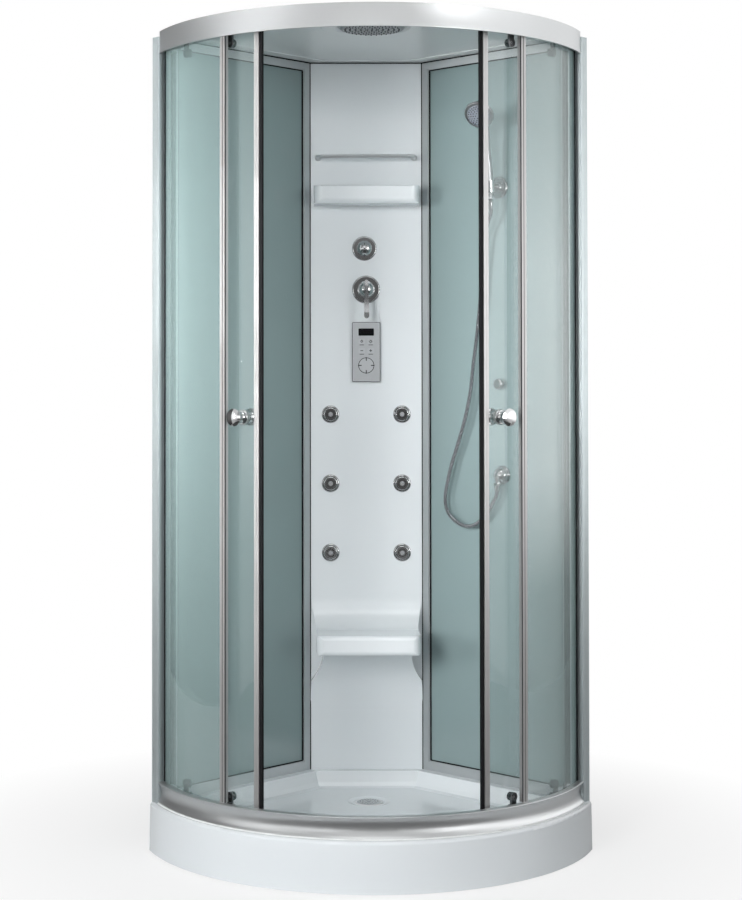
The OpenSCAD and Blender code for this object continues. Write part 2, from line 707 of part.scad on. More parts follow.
module jet_bodies() color(chrome) for (p = jet_places) on_column(p[0], p[1]) difference() {
    rotate_extrude() difference() {
        union() {
            square([26, 5]);
            square([20, 9]);
            translate([0, -12]) square([15.5, 13]);
            translate([0, -30]) square([9, 20]);
        }
        corner_waste(26, 5, 4, 1, 1);
        corner_waste(20, 9, 3, 1, 1);
    }
    translate([0, 0, ball_out]) sphere(r = ball_r + 0.3);
    translate([0, 0, ball_out]) cylinder(r = 11.6, h = 30);
    translate([0, 0, -31]) cylinder(r = 5, h = 30);
}

module jet_nozzle(i) color(chrome) on_column(jet_places[i][0], jet_places[i][1])
    translate([0, 0, ball_out]) difference() {
        union() {
            intersection() {
                sphere(r = ball_r);
                translate([0, 0, -9]) cylinder(r = 20, h = 16);
            }
            translate([0, 0, 6]) cylinder(r = 7.5, h = 4);
        }
        for (k = [0:5]) rotate(k * 60) translate([4.6, 0, 7]) cylinder(r = 0.9, h = 4);
        translate([0, 0, 7]) cylinder(r = 1.1, h = 4);
        translate([0, 0, -10]) cylinder(r = 6, h = 12);
    }

// Roof: a lid inside the upper rail, with a raised field and the ring round the overhead shower

module roof_panel() color(white) difference() {
    union() {
        translate([0, 0, roof_z]) linear_extrude(4) plan(door_r - 17, 12, column_y + 36, $fn = 120);
        translate([0, 0, roof_z + 4]) linear_extrude(1.5) plan(door_r - 61, 66, column_y - 20, $fn = 120);
        translate([0, shower_y, roof_z - 7]) rotate_extrude() difference() {
            translate([92, 0]) square([45, 8]);
            corner_waste(137, 0, 6, 1, -1);
            translate([92, -8]) circle(12);
        }
    }
    difference() {
        translate([0, 0, roof_z - e]) linear_extrude(2.5) plan(door_r - 67, 72, column_y - 26, $fn = 120);
        translate([0, shower_y, roof_z - 1]) cylinder(r = 134, h = 12);
    }
    translate([0, shower_y, roof_z - 1]) cylinder(r = 11, h = 12);
}

module overhead_shower() color([0.55, 0.56, 0.58]) translate([0, shower_y, 0]) difference() {
    union() {
        translate([0, 0, roof_z - 12]) rotate_extrude() difference() {
            square([84.5, 12]);
            corner_waste(84.5, 0, 6, 1, -1);
        }
        translate([0, 0, roof_z - e]) cylinder(r = 10.5, h = 4);
    }
    for (ring = [[16, 8], [30, 14], [44, 20], [58, 26], [71, 32]], i = [0:ring[1] - 1])
        rotate(i * 360 / ring[1]) translate([ring[0], 0, roof_z - 13]) cylinder(r = 2.2, h = 4);
    translate([0, 0, roof_z - 13]) cylinder(r = 3, h = 4);
    translate([0, 0, roof_z - 4]) cylinder(r = 6, h = 20);
}

// Hand shower, its holder, the hose and the wall fittings

module in_handset() off_wall(holder_s, handset_n, holder_z) rotate([handset_lean, 0, 0])
    rotate([-90, 0, 0]) rotate([0, 0, handset_turn]) children();

module handset_holder() color(chrome) {
    off_wall(holder_s, glass_front, holder_z) rotate_extrude() difference() {
        union() {
            square([31, 7]);
            square([14, 14]);
            square([8, handset_n - glass_front - 15.2]);
        }
        corner_waste(31, 7, 5, 1, 1);
        corner_waste(14, 14, 5, 1, 1);
    }
    in_handset() difference() {
        translate([0, 0, -17]) cylinder(r1 = 15.5, r2 = 17.5, h = 34);
        translate([0, 0, -18]) cylinder(r1 = 11.2, r2 = 13.4, h = 36);
        rotate(-handset_turn) translate([-5.5, -30, -20]) cube([11, 30, 40]);
    }
}

head_pitch = 32;
head_out = 36;            // the head's middle, out from the handle's axis and up from the holder
head_up = 203;

module at_head() translate([0, -head_out, head_up]) rotate([head_pitch, 0, 0]) rotate([90, 0, 0]) children();

module hand_shower() color(chrome) in_handset() difference() {
    union() {
        rotate_extrude() difference() {
            translate([0, -34]) square([14, 181]);
            polygon([[30, -40], [30, 177], [11.6, 177], [11.6, 147], [11.4, 95], [12.8, 40], [12.5, 17],
                [10.4, -18], [8.5, -30], [8.5, -40]]);
        }
        hull() {
            translate([0, 0, 141]) cylinder(r = 11.6, h = 6, $fn = 32);
            at_head() translate([0, -14, -9]) cylinder(r = 17, h = 6, $fn = 32);
        }
        at_head() rotate_extrude() difference() {
            union() {
                square([41, 13]);
                translate([0, -11]) square([32, 12]);
            }
            corner_waste(41, 13, 4, 1, 1);
            corner_waste(41, 0, 7, 1, -1);
            corner_waste(32, -11, 10, 1, -1);
        }
    }
    at_head() {
        translate([0, 0, 11.5]) difference() {
            cylinder(r = 36.4, h = 4);
            translate([0, 0, -1]) cylinder(r = 35, h = 6);
        }
        for (ring = [[10, 6], [18, 12], [26, 18]], i = [0:ring[1] - 1])
            rotate(i * 360 / ring[1]) translate([ring[0], 0, 12]) cylinder(r = 1.3, h = 2);
    }
    translate([0, 0, -35]) cylinder(r = 5, h = 60);
}

module hose_nut() color(chrome) in_handset() translate([0, 0, -foot_drop]) difference() {
    union() {
        cylinder(r1 = 8, r2 = 9, h = 12);
        translate([0, 0, 12]) cylinder(r = 10, h = 12, $fn = 8);
    }
    translate([0, 0, -1]) cylinder(r = 3.4, h = 30);
}

function blend4(a, b, c, d, t) =
    0.5 * (2 * b + (c - a) * t + (2 * a - 5 * b + 4 * c - d) * t * t + (3 * b - a - 3 * c + d) * t * t * t);
function route(i) = hose_route[max(0, min(len(hose_route) - 1, i))];
function spot(u) = let (i = min(floor(u), len(hose_route) - 2), t = u - i)
    wall_point(blend4(route(i - 1), route(i), route(i + 1), route(i + 2), t));
function unit(v) = v / norm(v);
off_dir = [-sqrt(0.5), -sqrt(0.5), 0];
route_end = len(hose_route) - 1;
// Distance along the route at even steps of its parameter, so that the ribs can be spaced evenly
route_steps = 220;
route_spots = [for (i = [0:route_steps]) spot(route_end * i / route_steps)];
route_runs = [for (i = 0, run = 0; i <= route_steps; i = i + 1,
    run = run + (i <= route_steps ? norm(route_spots[i] - route_spots[i - 1]) : 0)) run];
hose_length = route_runs[route_steps];
function at_run(d, lo = 0, hi = route_steps) = hi - lo <= 1
    ? route_end * (lo + (d - route_runs[lo]) / (route_runs[hi] - route_runs[lo])) / route_steps
    : let (mid = floor((lo + hi) / 2)) route_runs[mid] > d ? at_run(d, lo, mid) : at_run(d, mid, hi);
function flow(u) = u < 0.05 ? unit(spot(1) - spot(0)) : u > route_end - 0.05 ? [0, 0, 1]
    : unit(spot(u + 0.02) - spot(u - 0.02));
function ring_at(u, r, n) = let (f = flow(u), a = unit(off_dir - f * (off_dir * f)), b = cross(f, a))
    [for (k = [0:n - 1]) spot(u) + r * (cos(360 * k / n) * a + sin(360 * k / n) * b)];
sides = 8;
rib_rings = 2 * hose_ribs;
bore_rings = 48;
outer_rings = [for (i = [0:rib_rings]) ring_at(at_run(hose_length * i / rib_rings),
    hose_d / 2 - (i % 2 && i > 1 && i < rib_rings - 1 ? 0 : 0.7), sides)];
inner_rings = [for (i = [0:bore_rings]) ring_at(at_run(hose_length * i / bore_rings), hose_d / 2 - 2.6, sides)];
hose_points = [for (r = outer_rings, p = r) p, for (r = inner_rings, p = r) p];
bore_start = (rib_rings + 1) * sides;
function skin(start, rings, turn) = [for (i = [0:rings - 1], k = [0:sides - 1], half = [0, 1])
    let (a = start + i * sides + k, b = start + i * sides + (k + 1) % sides, c = a + sides, d = b + sides,
        tri = half ? [b, c, d] : [a, c, b]) turn ? [tri[2], tri[1], tri[0]] : tri];
function end_cap(outer, inner, turn) = [for (k = [0:sides - 1], half = [0, 1])
    let (a = outer + k, b = outer + (k + 1) % sides, c = inner + k, d = inner + (k + 1) % sides,
        tri = half ? [b, d, c] : [a, b, c]) turn ? [tri[2], tri[1], tri[0]] : tri];

module hose() color(chrome) polyhedron(hose_points, concat(
    skin(0, rib_rings, false), skin(bore_start, bore_rings, true),
    end_cap(0, bore_start, false),
    end_cap(rib_rings * sides, bore_start + bore_rings * sides, true)));

module wall_elbow() color(chrome) {
    off_wall(elbow_s, glass_front, elbow_z) {
        rotate_extrude() difference() {
            union() {
                square([27, 5]);
                square([24, 10]);
                difference() {
                    square([22, 34]);
                    difference() {
                        translate([0, 8]) square([40, 40]);
                        translate([0, 4]) circle(24);
                    }
                }
            }
            corner_waste(27, 5, 3, 1, 1);
            corner_waste(24, 10, 2.5, 1, 1);
        }
        translate([0, 0, -10]) difference() {
            cylinder(r = 10.5, h = 11);
            translate([0, 0, -1]) cylinder(r = 6, h = 5);
        }
    }
    on_wall(1) translate([elbow_s, -45, elbow_z - 42]) {
        translate([0, 0, 0]) cylinder(r = 8.6, h = 14);
        translate([0, 0, 14]) cylinder(r = 10.2, h = 8, $fn = 6);
        translate([0, 0, 22]) cylinder(r = 7, h = 18);
    }
}

module wall_hook() color(chrome) off_wall(hook_s, glass_front, hook_z) {
    rotate_extrude() difference() {
        union() {
            square([10, 4]);
            square([6, 20]);
            translate([0, 14]) square([15.5, 8]);
        }
        corner_waste(15.5, 22, 5, 1, 1);
        corner_waste(15.5, 14, 2, 1, -1);
    }
    translate([0, 0, -5]) cylinder(r = 3, h = 6);
}

// Water: the mixer and diverter valves behind the column, and the copper pipes from them

module pipe(points, r) for (i = [0:len(points) - 2]) {
    run = points[i + 1] - points[i];
    translate(points[i]) rotate([0, acos(run[2] / norm(run)), atan2(run[1], run[0])])
        cylinder(r = r, h = norm(run));
    if (i > 0) translate(points[i]) sphere(r = r + 1);
}

pipe_y = column_y + 45;

module water_pipes() color([0.72, 0.45, 0.30]) {
    on_column(0, mixer_z) translate([0, 0, -50]) difference() {
        cylinder(r = 17, h = 41.5);
        translate([0, 0, 38]) cylinder(r = 14, h = 10);
    }
    translate([-62, pipe_y, mixer_z]) rotate([0, 90, 0]) cylinder(r = 16, h = 124);
    for (x = [-42, 42]) translate([x, pipe_y, mixer_z]) rotate([-90, 0, 0]) {
        cylinder(r = 14, h = 20);
        cylinder(r = 10.5, h = 38);
    }
    on_column(diverter_x, diverter_z) translate([0, 0, -50]) difference() {
        cylinder(r = 13, h = 41.5);
        translate([0, 0, 38]) cylinder(r = 11, h = 10);
    }
    translate([-40, pipe_y, diverter_z]) rotate([0, 90, 0]) cylinder(r = 15, h = 80);
    pipe([[0, pipe_y, mixer_z], [0, pipe_y, diverter_z]], 8);
    pipe([[0, pipe_y, diverter_z], [0, pipe_y, total_h - 4.6], [0, shower_y, total_h - 4.6],
        [0, shower_y, roof_z + 1]], 3.6);
    for (x = [-jet_x, jet_x]) {
        pipe([[0, pipe_y, diverter_z - 12], [x, pipe_y, diverter_z - 12],
            [x, pipe_y, jet_z - 2 * jet_step - 10]], 6);
        for (i = [0:2]) on_column(x, jet_z - i * jet_step) translate([0, 0, -45]) cylinder(r = 8, h = 15);
    }
    pipe([[0, pipe_y, diverter_z + 8], wall_point([150, 20, diverter_z + 8]),
        wall_point([190, 6, diverter_z + 8]), wall_point([190, 6, elbow_z]),
        wall_point([elbow_s, 6, elbow_z]), wall_point([elbow_s, 12, elbow_z])], 4);
}

tray();
tray_frame();
levelling_feet();
waste_trap();
drain_cover();
bottom_rail();
top_rail();
wall_posts();
fixed_glass();
fixed_stiles();
door_glass(-1, left_open);  // door_glass_left
door_glass(1, right_open);  // door_glass_right
door_stile(-1, left_open);  // door_stile_left
door_stile(1, right_open);  // door_stile_right
door_seals(-1, left_open);  // door_seals_left
door_seals(1, right_open);  // door_seals_right
door_knob(-1, left_open);  // door_knob_left
door_knob(1, right_open);  // door_knob_right
roller_hangers(-1, left_open);  // roller_hangers_left
roller_hangers(1, right_open);  // roller_hangers_right
roller(-1, left_open, wheel_places[0]);  // roller_left_1
roller(-1, left_open, wheel_places[1]);  // roller_left_2
roller(-1, left_open, wheel_places[2]);  // roller_left_3
roller(-1, left_open, wheel_places[3]);  // roller_left_4
roller(1, right_open, wheel_places[0]);  // roller_right_1
roller(1, right_open, wheel_places[1]);  // roller_right_2
roller(1, right_open, wheel_places[2]);  // roller_right_3
roller(1, right_open, wheel_places[3]);  // roller_right_4
wall_frames();
wall_glass();
column();
towel_bar();
trim_plates();
diverter_knob();
mixer_hub();
mixer_lever();
keypad_case();
keypad_display();
keypad_key(0);  // key_1
keypad_key(1);  // key_2
keypad_key(2);  // key_3
keypad_key(3);  // key_4
keypad_ring();
jet_bodies();
jet_nozzle(0);  // jet_nozzle_1
jet_nozzle(1);  // jet_nozzle_2
jet_nozzle(2);  // jet_nozzle_3
jet_nozzle(3);  // jet_nozzle_4
jet_nozzle(4);  // jet_nozzle_5
jet_nozzle(5);  // jet_nozzle_6
roof_panel();
overhead_shower();
handset_holder();
hand_shower();
hose_nut();
hose();
wall_elbow();
wall_hook();
water_pipes();
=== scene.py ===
import math

import bmesh
import bpy
from mathutils import Matrix, Vector


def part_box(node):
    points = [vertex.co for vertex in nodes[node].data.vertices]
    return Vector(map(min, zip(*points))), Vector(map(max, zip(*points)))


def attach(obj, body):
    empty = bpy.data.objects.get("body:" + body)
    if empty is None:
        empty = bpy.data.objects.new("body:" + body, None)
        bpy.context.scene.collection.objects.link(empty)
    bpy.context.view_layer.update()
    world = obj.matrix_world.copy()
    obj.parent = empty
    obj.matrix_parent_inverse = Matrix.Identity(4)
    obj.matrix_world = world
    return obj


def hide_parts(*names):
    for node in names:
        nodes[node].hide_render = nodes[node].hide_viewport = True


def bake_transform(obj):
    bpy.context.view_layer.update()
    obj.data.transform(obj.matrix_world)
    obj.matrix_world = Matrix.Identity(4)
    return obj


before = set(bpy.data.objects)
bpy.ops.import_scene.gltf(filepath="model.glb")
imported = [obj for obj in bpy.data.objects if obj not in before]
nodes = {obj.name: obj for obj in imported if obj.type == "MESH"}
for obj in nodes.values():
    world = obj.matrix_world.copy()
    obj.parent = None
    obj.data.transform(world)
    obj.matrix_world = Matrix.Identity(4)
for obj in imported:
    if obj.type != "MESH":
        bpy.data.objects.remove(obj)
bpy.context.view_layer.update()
rest = {name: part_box(name) for name in nodes}
print("frame loaded:", len(nodes), "nodes")


# camera: the photograph's own place, lens and tilt
photoCamera = {
    "place": (-0.1508, -4.8981, 1.2773),
    "yaw": -0.0057, "pitch": 0.0193, "roll": -0.0009,
    "focalPixels": 1788.2,
    "axisPixel": (324.6, 339.1),
    "picture": (742, 900),
}


def makeCamera(look):
    wide, high = look["picture"]
    data = bpy.data.cameras.new("camera")
    data.sensor_fit = "VERTICAL"
    data.sensor_height = 36
    data.lens = look["focalPixels"] * data.sensor_height / high
    data.shift_x = (wide / 2 - look["axisPixel"][0]) / high
    data.shift_y = (look["axisPixel"][1] - high / 2) / high
    camera = bpy.data.objects.new("camera", data)
    bpy.context.collection.objects.link(camera)
    turn = Matrix.Rotation(look["yaw"], 4, "Z") @ Matrix.Rotation(math.pi / 2 + look["pitch"], 4, "X")
    camera.matrix_world = Matrix.Translation(look["place"]) @ turn @ Matrix.Rotation(look["roll"], 4, "Z")
    bpy.context.scene.camera = camera


makeCamera(photoCamera)
print("camera placed")


# the cabin's own places, from the frame
wallCorner = 0.5127093            # the room's corner, along +Y
arcCentre = wallCorner - 0.383
columnFace = wallCorner - 0.2
doorRadius = 0.566
rootHalf = math.sqrt(0.5)


def wallPoint(along, out, height):
    # along the right wall from the corner, out from the wall, height
    return Vector(((along - out) * rootHalf, wallCorner - (along + out) * rootHalf, height))


def onArc(angle, radius, height):
    return Vector((radius * math.sin(angle), arcCentre - radius * math.cos(angle), height))


# shader wiring
class Wire:
    # one shader socket that takes part in sums
    def __init__(self, tree, socket):
        self.tree = tree
        self.socket = socket

    def maths(self, operation, first, second):
        node = self.tree.nodes.new("ShaderNodeMath")
        node.operation = operation
        for slot, value in zip(node.inputs, (first, second)):
            plug(self.tree, slot, value)
        return Wire(self.tree, node.outputs[0])

    def __add__(self, other):
        return self.maths("ADD", self, other)

    def __radd__(self, other):
        return self.maths("ADD", other, self)

    def __sub__(self, other):
        return self.maths("SUBTRACT", self, other)

    def __rsub__(self, other):
        return self.maths("SUBTRACT", other, self)

    def __mul__(self, other):
        return self.maths("MULTIPLY", self, other)

    def __rmul__(self, other):
        return self.maths("MULTIPLY", other, self)

    def __pow__(self, other):
        return self.maths("POWER", self, other)


def plug(tree, slot, value):
    # a wire is linked, a colour gets its alpha, and a number goes in as it is
    if isinstance(value, Wire):
        tree.links.new(value.socket, slot)
    elif slot.type == "RGBA":
        slot.default_value = (*value, 1.0)
    else:
        slot.default_value = value


class Finish:
    # a material around one Principled shader
    def __init__(self, name, **sockets):
        self.material = bpy.data.materials.new(name)
        self.material.use_nodes = True
        self.tree = self.material.node_tree
        self.shader = self.tree.nodes["Principled BSDF"]
        for label, value in sockets.items():
            self.set(label, value)

    def set(self, label, value):
        plug(self.tree, self.shader.inputs[label.replace("_", " ")], value)

    def add(self, kind, settings=None, give=0, **inputs):
        # any other node: its kind, its settings, the output that it gives, and what its sockets hold
        node = self.tree.nodes.new(kind)
        for label, value in (settings or {}).items():
            if label == "stops":
                setStops(node.color_ramp, value)
            else:
                setattr(node, label, value)
        for label, value in inputs.items():
            plug(self.tree, node.inputs[label.replace("_", " ")], value)
        return Wire(self.tree, node.outputs[give])

    def place(self, stretch=(1, 1, 1)):
        spot = self.add("ShaderNodeTexCoord", give="Object")
        return self.add("ShaderNodeMapping", Vector=spot, Scale=stretch)

    def noise(self, scale, detail, stretch=(1, 1, 1)):
        return self.add("ShaderNodeTexNoise", Vector=self.place(stretch), Scale=scale, Detail=detail)

    def bump(self, height, distance, strength):
        self.set("Normal", self.add("ShaderNodeBump", Height=height, Distance=distance, Strength=strength))

    def blend(self, factor, one, two):
        node = self.tree.nodes.new("ShaderNodeMix")
        node.data_type = "RGBA"
        for slot, value in ((0, factor), (6, one), (7, two)):      # 6 and 7 are the node's two colours
            plug(self.tree, node.inputs[slot], value)
        return Wire(self.tree, node.outputs[2])


def setStops(ramp, stops):
    while len(ramp.elements) < len(stops):
        ramp.elements.new(0.5)
    for element, (position, value) in zip(ramp.elements, stops):
        element.position = position
        element.color = (value, value, value, 1)


def screen(red, green, blue):
    # a colour as read on a screen, made linear
    return tuple(((c / 255 + 0.055) / 1.055) ** 2.4 if c > 10 else c / 255 / 12.92 for c in (red, green, blue))


def shaded(tone, share):
    return tuple(min(1, c * share) for c in tone)


# finishes: each noise's scale and detail, how much darker or paler its spots are, how far it changes the
# roughness, and the bump's height and strength
satinLook = {"streak": (60, 4), "cloud": (5, 2), "dark": 0.93, "uneven": (0.08, 0.04), "bump": (0.0004, 0.25)}
acrylicLook = {"cloud": (3, 3), "peel": (35, 2), "dark": 0.985, "uneven": 0.06, "bump": (0.001, 0.08)}
silverLook = {"streak": (90, 4), "grain": (1, 1, 60), "dark": 0.9, "roughness": 0.34, "uneven": 0.1,
              "bump": (0.0002, 0.2)}
backLook = {"cloud": (1.3, 2), "dark": 0.94}
chromeLook = {"smudge": (18, 3), "dark": 0.95, "uneven": 0.05}
rubberLook = {"cloud": (25, 3), "fine": (200, 2), "pale": 1.5, "roughness": 0.5, "uneven": 0.15,
              "bump": (0.0003, 0.2)}
plasticLook = {"cloud": (40, 3), "fine": (300, 2), "pale": 1.08, "uneven": 0.1, "bump": (0.0002, 0.2)}


def satinMetal(name, tone, roughness, grain, metal=0.65):
    # drawn and anodised aluminium: fine streaks along the extrusion, under a layer that scatters a little
    look = satinLook
    finish = Finish(name, Metallic=metal)
    streak = finish.noise(*look["streak"], grain)
    cloud = finish.noise(*look["cloud"])
    finish.set("Base Color", finish.blend(streak, shaded(tone, look["dark"]), tone))
    byStreak, byCloud = look["uneven"]
    finish.set("Roughness", roughness + byStreak * streak + byCloud * cloud)
    finish.bump(streak, *look["bump"])
    return finish.material


def acrylic(name, tone, roughness):
    # moulded sanitary acrylic with a faint orange peel
    look = acrylicLook
    finish = Finish(name, Coat_Weight=0.35, Coat_Roughness=0.06)
    cloud = finish.noise(*look["cloud"])
    finish.set("Base Color", finish.blend(cloud, shaded(tone, look["dark"]), tone))
    finish.set("Roughness", roughness + look["uneven"] * cloud)
    finish.bump(finish.noise(*look["peel"]), *look["bump"])
    return finish.material


def silverCase(name, tone):
    # fine brushed silver lacquer: half metal, half pale body
    look = silverLook
    finish = Finish(name, Metallic=0.45)
    streak = finish.noise(*look["streak"], look["grain"])
    finish.set("Base Color", finish.blend(streak, shaded(tone, look["dark"]), tone))
    finish.set("Roughness", look["roughness"] + look["uneven"] * streak)
    finish.bump(streak, *look["bump"])
    return finish.material


def clearGlass(name, tint, body, sheen):
    # tempered glass: mostly see-through. The alpha thins the mirror too, and the high index makes up for it.
    finish = Finish(name, Base_Color=tint, Roughness=0.02, IOR=4.0)
    slant = finish.add("ShaderNodeLayerWeight", give="Facing", Blend=0.5)
    finish.set("Alpha", body + sheen * slant ** 3)
    return finish.material


def backedGlass(name, tint):
    # the back walls' tinted glass, which nothing shows through
    look = backLook
    finish = Finish(name, Roughness=0.1, IOR=1.5, Coat_Weight=0.5, Coat_Roughness=0.03)
    cloud = finish.noise(*look["cloud"])
    finish.set("Base Color", finish.blend(cloud, shaded(tint, look["dark"]), tint))
    return finish.material


def polishedChrome(name, tone=(0.62, 0.625, 0.63), roughness=0.05):
    look = chromeLook
    finish = Finish(name, Metallic=1.0)
    smudge = finish.noise(*look["smudge"])
    finish.set("Base Color", finish.blend(smudge, shaded(tone, look["dark"]), tone))
    finish.set("Roughness", roughness + look["uneven"] * smudge)
    return finish.material


def softRubber(name, tone):
    look = rubberLook
    finish = Finish(name, Specular_IOR_Level=0.08)
    cloud = finish.noise(*look["cloud"])
    finish.set("Base Color", finish.blend(cloud, tone, shaded(tone, look["pale"])))
    finish.set("Roughness", look["roughness"] + look["uneven"] * cloud)
    finish.bump(finish.noise(*look["fine"]), *look["bump"])
    return finish.material


def mouldedPlastic(name, tone, roughness=0.4):
    look = plasticLook
    finish = Finish(name)
    cloud = finish.noise(*look["cloud"])
    finish.set("Base Color", finish.blend(cloud, tone, shaded(tone, look["pale"])))
    finish.set("Roughness", roughness + look["uneven"] * cloud)
    finish.bump(finish.noise(*look["fine"]), *look["bump"])
    return finish.material


finishes = {
    "acrylic": acrylic("whiteAcrylic", screen(227, 232, 235), 0.16),
    "roof": acrylic("roofSheet", screen(227, 231, 232), 0.3),
    "rail": satinMetal("satinRail", screen(202, 204, 205), 0.28, (0.1, 0.1, 40), 0.85),
    "post": satinMetal("satinPost", screen(184, 193, 195), 0.26, (40, 40, 0.5)),
    "stile": satinMetal("satinStile", screen(180, 179, 179), 0.26, (40, 40, 0.5)),
    "wallFrame": satinMetal("satinFrame", screen(200, 204, 206), 0.3, (30, 30, 1)),
    "frontGlass": clearGlass("frontGlass", screen(172, 198, 197), 0.105, 0.75),
    "backGlass": backedGlass("backGlass", screen(135, 153, 154)),
    # black rubber for the seals, also worn by the painted shade in the stiles' grooves and round the jets'
    # balls
    "seal": softRubber("blackSealAndShade", (0.008, 0.008, 0.009)),
    "chrome": polishedChrome("chrome"),
    "lever": polishedChrome("leverChrome", (0.46, 0.47, 0.48), 0.22),
    "bar": polishedChrome("satinBar", (0.86, 0.87, 0.88), 0.3),
    "hanger": polishedChrome("darkHanger", (0.20, 0.205, 0.21), 0.22),
    "handset": polishedChrome("handsetChrome", (0.50, 0.505, 0.52), 0.26),
    "hose": polishedChrome("hoseChrome", (0.40, 0.41, 0.43), 0.2),
    "roller": mouldedPlastic("blackWheel", (0.02, 0.02, 0.022)),
    "keypad": silverCase("brushedSilver", screen(192, 195, 198)),
    "keys": silverCase("brushedKeys", screen(198, 201, 204)),
    "display": Finish("displayWindow", Base_Color=(0.004, 0.004, 0.006), Roughness=0.08).material,
    "overhead": satinMetal("overheadPlate", screen(150, 153, 156), 0.3, (8, 8, 8)),
    "frameSteel": mouldedPlastic("greyCoat", (0.09, 0.095, 0.1), 0.45),
    "feet": mouldedPlastic("blackFeet", (0.02, 0.02, 0.022), 0.5),
    "waste": mouldedPlastic("wasteMoulding", (0.6, 0.61, 0.62), 0.4),
    "copper": polishedChrome("copperPipe", (0.75, 0.42, 0.28), 0.25),
    "brass": polishedChrome("brassNut", (0.72, 0.58, 0.30), 0.25),
    "washer": softRubber("clearWasher", (0.32, 0.34, 0.34)),
    "screw": polishedChrome("steelScrew", (0.55, 0.56, 0.58), 0.2),
    "sealant": softRubber("whiteSealant", (0.62, 0.64, 0.64)),
    "insert": mouldedPlastic("sprayInsert", (0.35, 0.36, 0.37), 0.3),
    # dark print, also worn by the rim of painted shade round the keypad's case
    "print": mouldedPlastic("darkPrintAndShade", (0.03, 0.03, 0.035), 0.5),
    "nozzle": softRubber("nozzleRubber", (0.045, 0.047, 0.052)),
    "facePlate": mouldedPlastic("palePlate", screen(143, 150, 160), 0.3),
}
print("finishes made:", len(finishes))

# which finish each node wears, by its name, or by how its name starts
dressing = {
    "tray": "acrylic", "column": "acrylic", "roof_panel": "roof", "bottom_rail": "rail", "top_rail": "rail",
    "wall_posts": "post", "fixed_stiles": "stile", "wall_frames": "wallFrame", "fixed_glass": "frontGlass",
    "wall_glass": "backGlass", "towel_bar": "bar", "trim_plates": "chrome", "diverter_knob": "chrome",
    "mixer_hub": "chrome", "mixer_lever": "lever", "keypad_case": "keypad", "keypad_display": "display",
    "keypad_ring": "keys", "jet_bodies": "chrome", "overhead_shower": "overhead", "handset_holder": "chrome",
    "hand_shower": "handset", "hose_nut": "chrome", "hose": "hose", "wall_elbow": "chrome",
    "wall_hook": "chrome", "water_pipes": "copper", "tray_frame": "frameSteel", "levelling_feet": "feet",
    "waste_trap": "waste", "drain_cover": "chrome",
}
families = {
    "door_glass": "frontGlass", "door_stile": "stile", "door_seals": "seal", "door_knob": "chrome",
    "roller_hangers": "hanger", "roller_": "roller", "key_": "keys", "jet_nozzle": "chrome",
}


def dressNodes():
    for name, node in nodes.items():
        look = dressing.get(name) or next(look for start, look in families.items() if name.startswith(start))
        node.data.materials.clear()
        node.data.materials.append(finishes[look])


dressNodes()
print("nodes dressed")


def newPiece(name, shape, look, body, crease=35):
    # a finished piece of one finish, on a body of the frame, smooth up to the crease angle
    mesh = bpy.data.meshes.new(name)
    bmesh.ops.recalc_face_normals(shape, faces=shape.faces)
    for face in shape.faces:
        face.smooth = True
    shape.to_mesh(mesh)
    shape.free()
    mesh.set_sharp_from_angle(angle=math.radians(crease))
    piece = bpy.data.objects.new(name, mesh)
    bpy.context.collection.objects.link(piece)
    mesh.materials.append(finishes[look])
    if body:
        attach(piece, body)
    return piece


def turned(profile, steps):
    # points of radius and height, spun round z
    shape = bmesh.new()
    verts = [shape.verts.new((radius, 0, height)) for radius, height in profile]
    edges = [shape.edges.new(pair) for pair in zip(verts, verts[1:])]
    bmesh.ops.spin(shape, geom=verts + edges, cent=(0, 0, 0), axis=(0, 0, 1), angle=math.tau, steps=steps,
                   use_merge=True)
    bmesh.ops.remove_doubles(shape, verts=shape.verts, dist=0.00001)
    return shape


def sheet(width, height):
    # one flat face round the origin
    shape = bmesh.new()
    bmesh.ops.create_grid(shape, x_segments=1, y_segments=1, size=0.5)
    bmesh.ops.scale(shape, vec=(width, height, 1), verts=shape.verts)
    return shape


def block(size, edge):
    # a box with its edges taken off
    shape = bmesh.new()
    bmesh.ops.create_cube(shape, size=1)
    bmesh.ops.scale(shape, vec=size, verts=shape.verts)
    bmesh.ops.bevel(shape, geom=shape.edges, offset=edge, affect="EDGES", segments=1, profile=0.5, material=-1)
    return shape


def vertsOf(result):
    return [part for part in result["geom"] if isinstance(part, bmesh.types.BMVert)]


def roundedFrame(width, height, corner, band, thick):
    # a flat band with round corners, raised from z = 0
    shape = sheet(width, height)
    bmesh.ops.bevel(shape, geom=shape.verts, offset=corner, affect="VERTICES", segments=5, profile=0.5,
                    material=-1)
    bmesh.ops.inset_region(shape, faces=shape.faces, thickness=band, use_boundary=True, use_even_offset=True)
    inner = min(shape.faces, key=lambda f: (f.calc_center_median().length, -f.calc_area()))
    bmesh.ops.delete(shape, geom=[inner], context="FACES_ONLY")
    raised = vertsOf(bmesh.ops.extrude_face_region(shape, geom=shape.faces[:]))
    bmesh.ops.translate(shape, vec=(0, 0, thick), verts=raised)
    return shape


def arcStrip(section, start, end, steps=72):
    # a closed section of radius and height, swept round the front
    shape = bmesh.new()
    verts = [shape.verts.new(onArc(start, radius, height)) for radius, height in section]
    edges = [shape.edges.new(pair) for pair in zip(verts, verts[1:] + verts[:1])]
    bmesh.ops.spin(shape, geom=verts + edges, cent=(0, arcCentre, 0), axis=(0, 0, 1), angle=end - start,
                   steps=steps)
    bmesh.ops.holes_fill(shape, edges=[e for e in shape.edges if e.is_boundary], sides=0)
    return shape


